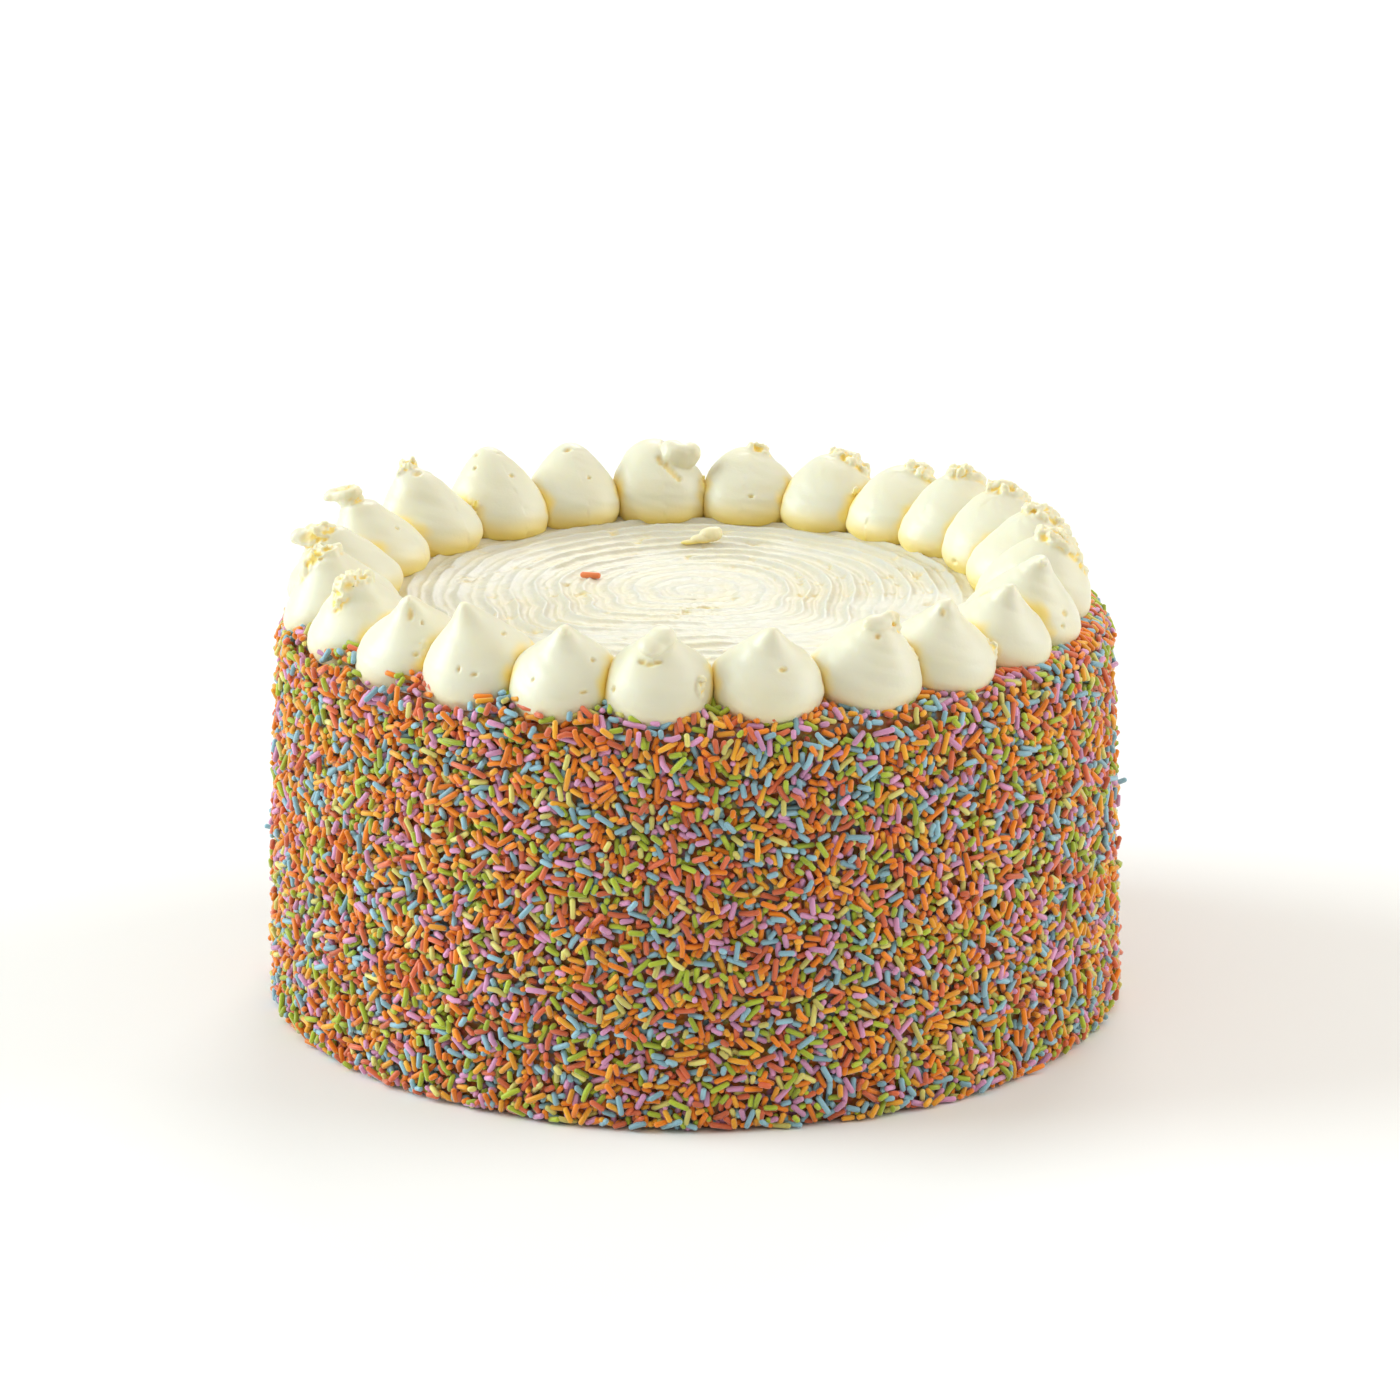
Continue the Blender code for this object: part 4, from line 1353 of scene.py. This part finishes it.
def tip_flakes(number, draw):
    """The torn flakes and lumps on the skin at a dollop's tip."""
    _, _, lean_out, lean_round, tip = DOLLOPS[number]
    (round_ring, out), extents, count = TIP_FLAKES[tip]
    flakes = []
    for i in range(count):
        turn = draw.uniform(0, 2 * math.pi)
        reach = math.sqrt(draw.random())
        x = lean_round + (round_ring + math.cos(turn) * reach * extents[0]) * MM
        y = lean_out + (out + math.sin(turn) * reach * extents[1]) * MM
        z = skin_height(number, x, y) + draw.uniform(*FLAKE_RISE) * MM
        sizes = LUMP_SIZES if i % 3 == 0 else FLAKE_SIZES
        half_sizes = np.array([draw.uniform(*span) for span in sizes]) * MM
        flakes.append(ball((x, y, z), half_sizes, any_turn(draw), steps=10, rows=6))
    return flakes


def seam_flakes(number, draw):
    """The small flakes where a dollop was torn from its neighbour."""
    flakes = []
    for owner, middle, extents, count in SEAM_TEARS:
        for _ in range(count if owner == number else 0):
            spot = np.array([draw.uniform(-1, 1) for _ in range(3)])
            spot /= max(np.linalg.norm(spot), 1.0)
            half_sizes = np.array([draw.uniform(*span) for span in FLAKE_SIZES]) * MM * SEAM_FLAKE_SCALE
            place = (np.array(middle) + spot * np.array(extents)) * MM
            flakes.append(ball(place, half_sizes, any_turn(draw), steps=10, rows=6))
    return flakes


def dollop_cage(number, draw):
    """One dollop's bulb and what was left at its tip, as overlapping closed shells in the cake's frame."""
    _, height, lean_out, lean_round, tip = DOLLOPS[number]
    height += TIP_LOSS
    bulb, faces = turned_bulb(SECTION_OF[tip], DOLLOP_LENGTH / 2, height - BULB_DROP.get(tip, 0.0))
    rise = bulb[:, 2] / height
    round_ring = bulb[:, 0] * DOLLOP_WIDTH / DOLLOP_LENGTH + lean_round * rise**2
    out = bulb[:, 1] + lean_out * rise**2
    up = bulb[:, 2] - FOOT_SINK * fade(rise, 0.0, 0.06)
    shells = [(np.stack([round_ring, out, up], 1), faces)]
    top = np.array([lean_round, lean_out, height])
    for place, half_sizes, turn_deg in TIP_LOBES.get(tip, ()):
        shells.append(ball(top + np.array(place) * MM, np.array(half_sizes) * MM, upright_turn(turn_deg)))
    if tip in TIP_FLAKES:
        shells += tip_flakes(number, draw)
    shells += seam_flakes(number, draw)
    return join_shells([(dollop_points(number, *shell.T), shell_faces) for shell, shell_faces in shells])


def hollowness(mesh, passes, depth):
    """How far each point lies in a hollow of its surroundings, from 0 to 1 at the given depth."""
    points, facing = coordinates(mesh), normals(mesh)
    ends = np.empty(len(mesh.edges) * 2, np.int32)
    mesh.edges.foreach_get("vertices", ends)
    first, second = ends.reshape(-1, 2).T
    links = np.bincount(ends, minlength=len(points))[:, None]
    smoothed = points.copy()
    for _ in range(passes):
        total = np.zeros_like(points)
        np.add.at(total, first, smoothed[second])
        np.add.at(total, second, smoothed[first])
        smoothed = total / links
    return np.clip(np.sum((smoothed - points) * facing, axis=1) / depth, 0.0, 1.0)


def carve_holes(number, mesh):
    """Presses air holes and slots into the surface, and returns how deep each point lies in one."""
    points, facing = coordinates(mesh), normals(mesh)
    local = np.stack(dollop_coordinates(number, points), 1)
    depth = np.zeros(len(points))
    for owner, place, half_sizes in AIR_HOLES:
        if owner == number:
            nearest = local[np.linalg.norm(local - np.array(place) * MM, axis=1).argmin()]
            share = np.linalg.norm((local - nearest) / (np.array(half_sizes) * MM), axis=1)
            depth = np.maximum(depth, fade(share, 0.35, 1.1))
    set_coordinates(mesh, points - facing * (depth * HOLE_DEPTH)[:, None])
    return depth


SOFT_RELIEF = 0.55 * MM
STREAK_RELIEF = 0.21 * MM
CRUMB_RELIEF = 1.1 * MM
FINE_CRUMBS = 0.35 * MM


def roughen(number, mesh, seed):
    """Gives a dollop its smears, and its torn parts a crumbly grain. Returns how torn each point is."""
    points, facing = coordinates(mesh), normals(mesh)
    local = np.stack(dollop_coordinates(number, points), 1)
    shift = seed * 7.3 + number * 3.1
    soft = noise_values(points, 95.0, shift) * SOFT_RELIEF
    swirl = np.arctan2(local[:, 0], local[:, 1]) * 1.4
    layers = np.stack([local[:, 0] * 70, local[:, 1] * 70, local[:, 2] * 480 + swirl], 1)
    streaks = noise_values(layers, 1.0, shift + 5) * STREAK_RELIEF
    torn = torn_share(number, local)
    crumbs = np.zeros(len(points))
    chosen = np.nonzero(torn > 0.01)[0]
    if len(chosen):
        ridged = 0.35 - np.abs(noise_values(points[chosen], 430.0, shift + 11))
        fine = noise_values(points[chosen], 1100.0, shift + 17)
        crumbs[chosen] = torn[chosen] * (ridged * CRUMB_RELIEF + fine * FINE_CRUMBS)
    set_coordinates(mesh, points + facing * ((soft + streaks) * (1 - torn) + crumbs)[:, None])
    return torn


def crease_shade_values(number, mesh, holes, torn, seed):
    """Painted shade for each point: in seams, at the foot, in corners, in air holes and in torn hollows."""
    points = coordinates(mesh)
    round_ring, out, up = dollop_coordinates(number, points)
    # Painted shade: seams between neighbours, the foot (more on its inner side) and the corners between feet.
    gap = side_limit(number, round_ring, out) - np.abs(round_ring)
    ragged = noise_values(points, 260.0, seed + number) * 1.4 * MM
    inner = fade(out, -10.0 * MM, 4.0 * MM)
    seam = fade(gap + ragged, 0.0, 2.8 * MM) * fade(up, 9.0 * MM, 13.0 * MM) * 0.85
    foot = fade(up, -1.0 * MM, 7.0 * MM) * (0.3 + 0.6 * inner)
    corner = fade(gap, 0.0, 3.0 * MM) * fade(up, 1.0 * MM, 5.0 * MM) * inner
    hole = holes * (0.5 + 0.38 * torn)
    tear = hollowness(mesh, 14, 0.11 * MM) * (0.06 + 0.94 * torn) * 0.76 + torn * 0.12
    return np.clip(np.maximum.reduce([seam, foot, corner, hole, tear]), 0, 1)


def fuse(piece, voxel, passes):
    """Makes overlapping shells one skin and softens it."""
    remesh = piece.modifiers.new("fuse", "REMESH")
    remesh.mode = "VOXEL"
    remesh.voxel_size = voxel
    soften = piece.modifiers.new("soften", "SMOOTH")
    soften.iterations = passes
    bake_modifiers(piece)


def finish_cream(piece, crease, material, node):
    """Gives a piece of piped cream its painted crease shade and its material, and hands it to the frame."""
    store(piece.data, "crease", crease)
    piece.data.materials.clear()
    piece.data.materials.append(material)
    piece.data.shade_smooth()
    settle(piece, "piped_cream", node)


class CAKE_OT_dollops(Operator):
    """Build the ring of piped dollops."""

    bl_idname = "cake.dollops"
    bl_label = "Dollops"

    def execute(self, context):
        cream = context.scene.cake_cream
        material = cream_material("piped_cream", cream.cream, cream)
        for number in range(len(DOLLOPS)):
            self.build_one(number, cream, material)
        return {"FINISHED"}

    def build_one(self, number, cream, material):
        node = f"dollop_{number + 1:02d}"
        cage = dollop_cage(number, random.Random(cream.seed * 100 + number))
        piece = new_object(f"{node}_cream", mesh_of(f"{node}_cream", *cage))
        fuse(piece, cream.dollop_voxel, 2)
        torn = roughen(number, piece.data, cream.seed)
        holes = carve_holes(number, piece.data)
        finish_cream(piece, crease_shade_values(number, piece.data, holes, torn, cream.seed), material, node)


# The dab of cream

DAB_PLACE = (1.6 * MM, 49.5 * MM)
DAB_TURN = math.radians(14.0)
DAB_REST = CAKE_HEIGHT + 0.4 * MM
DAB_VOXEL = 0.2 * MM

# Its lobes: place and half sizes in millimetres
DAB_LOBES = (
    ((2.5, 0.2, 2.0), (3.1, 2.2, 1.9)),
    ((0.2, 0.0, 1.1), (3.2, 1.8, 1.2)),
    ((-2.9, -0.3, 0.5), (2.7, 1.0, 0.6)),
    ((3.7, 0.5, 2.8), (1.7, 1.6, 1.0)),
)


class CAKE_OT_dab(Operator):
    """Build the small curl of cream near the back of the icing."""

    bl_idname = "cake.dab"
    bl_label = "Cream Dab"

    def execute(self, context):
        cream = context.scene.cake_cream
        shells = [ball(place, half_sizes, upright_turn(0.0)) for place, half_sizes in np.array(DAB_LOBES) * MM]
        points, faces = join_shells(shells)
        cosine, sine = math.cos(DAB_TURN), math.sin(DAB_TURN)
        rotation = np.array([[cosine, -sine, 0], [sine, cosine, 0], [0, 0, 1]])
        placed = points @ rotation.T + np.array([*DAB_PLACE, DAB_REST])
        piece = new_object("cream_dab_curl", mesh_of("cream_dab_curl", placed, faces))
        fuse(piece, DAB_VOXEL, 4)
        # Painted shade: the dab is painted warmer towards its bottom, where it sits on the icing, and a little
        # all over.
        low = fade(coordinates(piece.data)[:, 2], DAB_REST, DAB_REST + 1.6 * MM)
        material = cream_material("cream_dab", cream.cream, cream)
        finish_cream(piece, low * 0.6 + 0.24, material, "cream_dab")
        return {"FINISHED"}


# Stage

FLOOR_HALF = 6.0

# Soft lamps: the setting that holds its strength, azimuth, elevation and width in degrees, and its colour
LAMPS = (
    ("overhead_light", 0.0, 78.0, 100.0, (1.0, 0.98, 0.92)),
    ("left_light", -96.0, 24.0, 40.0, (0.84, 0.96, 1.0)),
    ("back_light", 172.0, 34.0, 25.0, (1.0, 1.0, 1.0)),
    ("right_light", 96.0, 26.0, 44.0, (0.97, 0.98, 0.98)),
)
ROOM_COLOUR = (1.0, 0.94, 0.80)


class CAKE_OT_stage(Operator):
    """Build the pale floor, the soft light and the camera."""

    bl_idname = "cake.stage"
    bl_label = "Stage"

    def execute(self, context):
        settings = context.scene.cake_stage
        self.build_floor(settings)
        self.build_light(context.scene, settings)
        self.build_camera(context.scene, settings)
        return {"FINISHED"}

    def build_floor(self, settings):
        corners = [(x * FLOOR_HALF, y * FLOOR_HALF, 0.0) for x, y in ((-1, -1), (1, -1), (1, 1), (-1, 1))]
        mesh = mesh_of("floor", corners, [(0, 1, 2, 3)])
        mesh.materials.append(floor_material("floor_paper", settings.floor_colour))
        new_object("floor", mesh)

    def build_light(self, scene, settings):
        world = bpy.data.worlds.new("soft_room")
        world.use_nodes = True
        background = world.node_tree.nodes["Background"]
        background.inputs["Color"].default_value = (*ROOM_COLOUR, 1.0)
        background.inputs["Strength"].default_value = settings.room_light
        scene.world = world
        for name, azimuth_deg, elevation_deg, width_deg, colour in LAMPS:
            lamp = bpy.data.lights.new(name, "SUN")
            lamp.energy = getattr(settings, name)
            lamp.angle = math.radians(width_deg)
            lamp.color = colour
            elevation = math.radians(elevation_deg)
            away = outward(math.radians(azimuth_deg)) * math.cos(elevation) + UP * math.sin(elevation)
            source = bpy.data.objects.new(name, lamp)
            source.rotation_euler = Vector(away).to_track_quat("Z", "Y").to_euler()
            scene.collection.objects.link(source)
        scene.view_settings.view_transform = "Standard"

    def build_camera(self, scene, settings):
        lens = bpy.data.cameras.new("camera")
        lens.lens = settings.lens
        lens.sensor_width = 36.0
        lens.clip_start = 0.01
        camera = bpy.data.objects.new("camera", lens)
        camera.location = (settings.camera_shift_right, -settings.camera_distance, settings.camera_height)
        camera.rotation_euler = (math.pi / 2 - settings.camera_pitch, 0.0, 0.0)
        scene.collection.objects.link(camera)
        scene.camera = camera


class CAKE_PT_panel(Panel):
    """Sizes, colours and the pieces' operators."""

    bl_label = "Sprinkle Cake"
    bl_idname = "CAKE_PT_panel"
    bl_space_type = "VIEW_3D"
    bl_region_type = "UI"
    bl_category = "Cake"

    def draw(self, context):
        for title, group in (("Side", "cake_side"), ("Cream", "cake_cream"), ("Stage", "cake_stage")):
            box = self.layout.box()
            box.label(text=title)
            settings = getattr(context.scene, group)
            for name in settings.__annotations__:
                box.prop(settings, name)
        for operator in PIECES:
            self.layout.operator(operator.bl_idname)


PIECES = (CAKE_OT_side, CAKE_OT_icing, CAKE_OT_dollops, CAKE_OT_dab, CAKE_OT_stage)
CLASSES = (SideSettings, CreamSettings, StageSettings, *PIECES, CAKE_PT_panel)


def register():
    for cls in CLASSES:
        bpy.utils.register_class(cls)
    bpy.types.Scene.cake_side = PointerProperty(type=SideSettings)
    bpy.types.Scene.cake_cream = PointerProperty(type=CreamSettings)
    bpy.types.Scene.cake_stage = PointerProperty(type=StageSettings)


def unregister():
    del bpy.types.Scene.cake_stage
    del bpy.types.Scene.cake_cream
    del bpy.types.Scene.cake_side
    for cls in reversed(CLASSES):
        bpy.utils.unregister_class(cls)


def main():
    register()
    for obj in [o for o in bpy.data.objects if o.name in START_OBJECTS]:
        bpy.data.objects.remove(obj, do_unlink=True)
    bpy.ops.cake.side()
    bpy.ops.cake.icing()
    bpy.ops.cake.dollops()
    bpy.ops.cake.dab()
    bpy.ops.cake.stage()


if __name__ == "__main__":
    main()
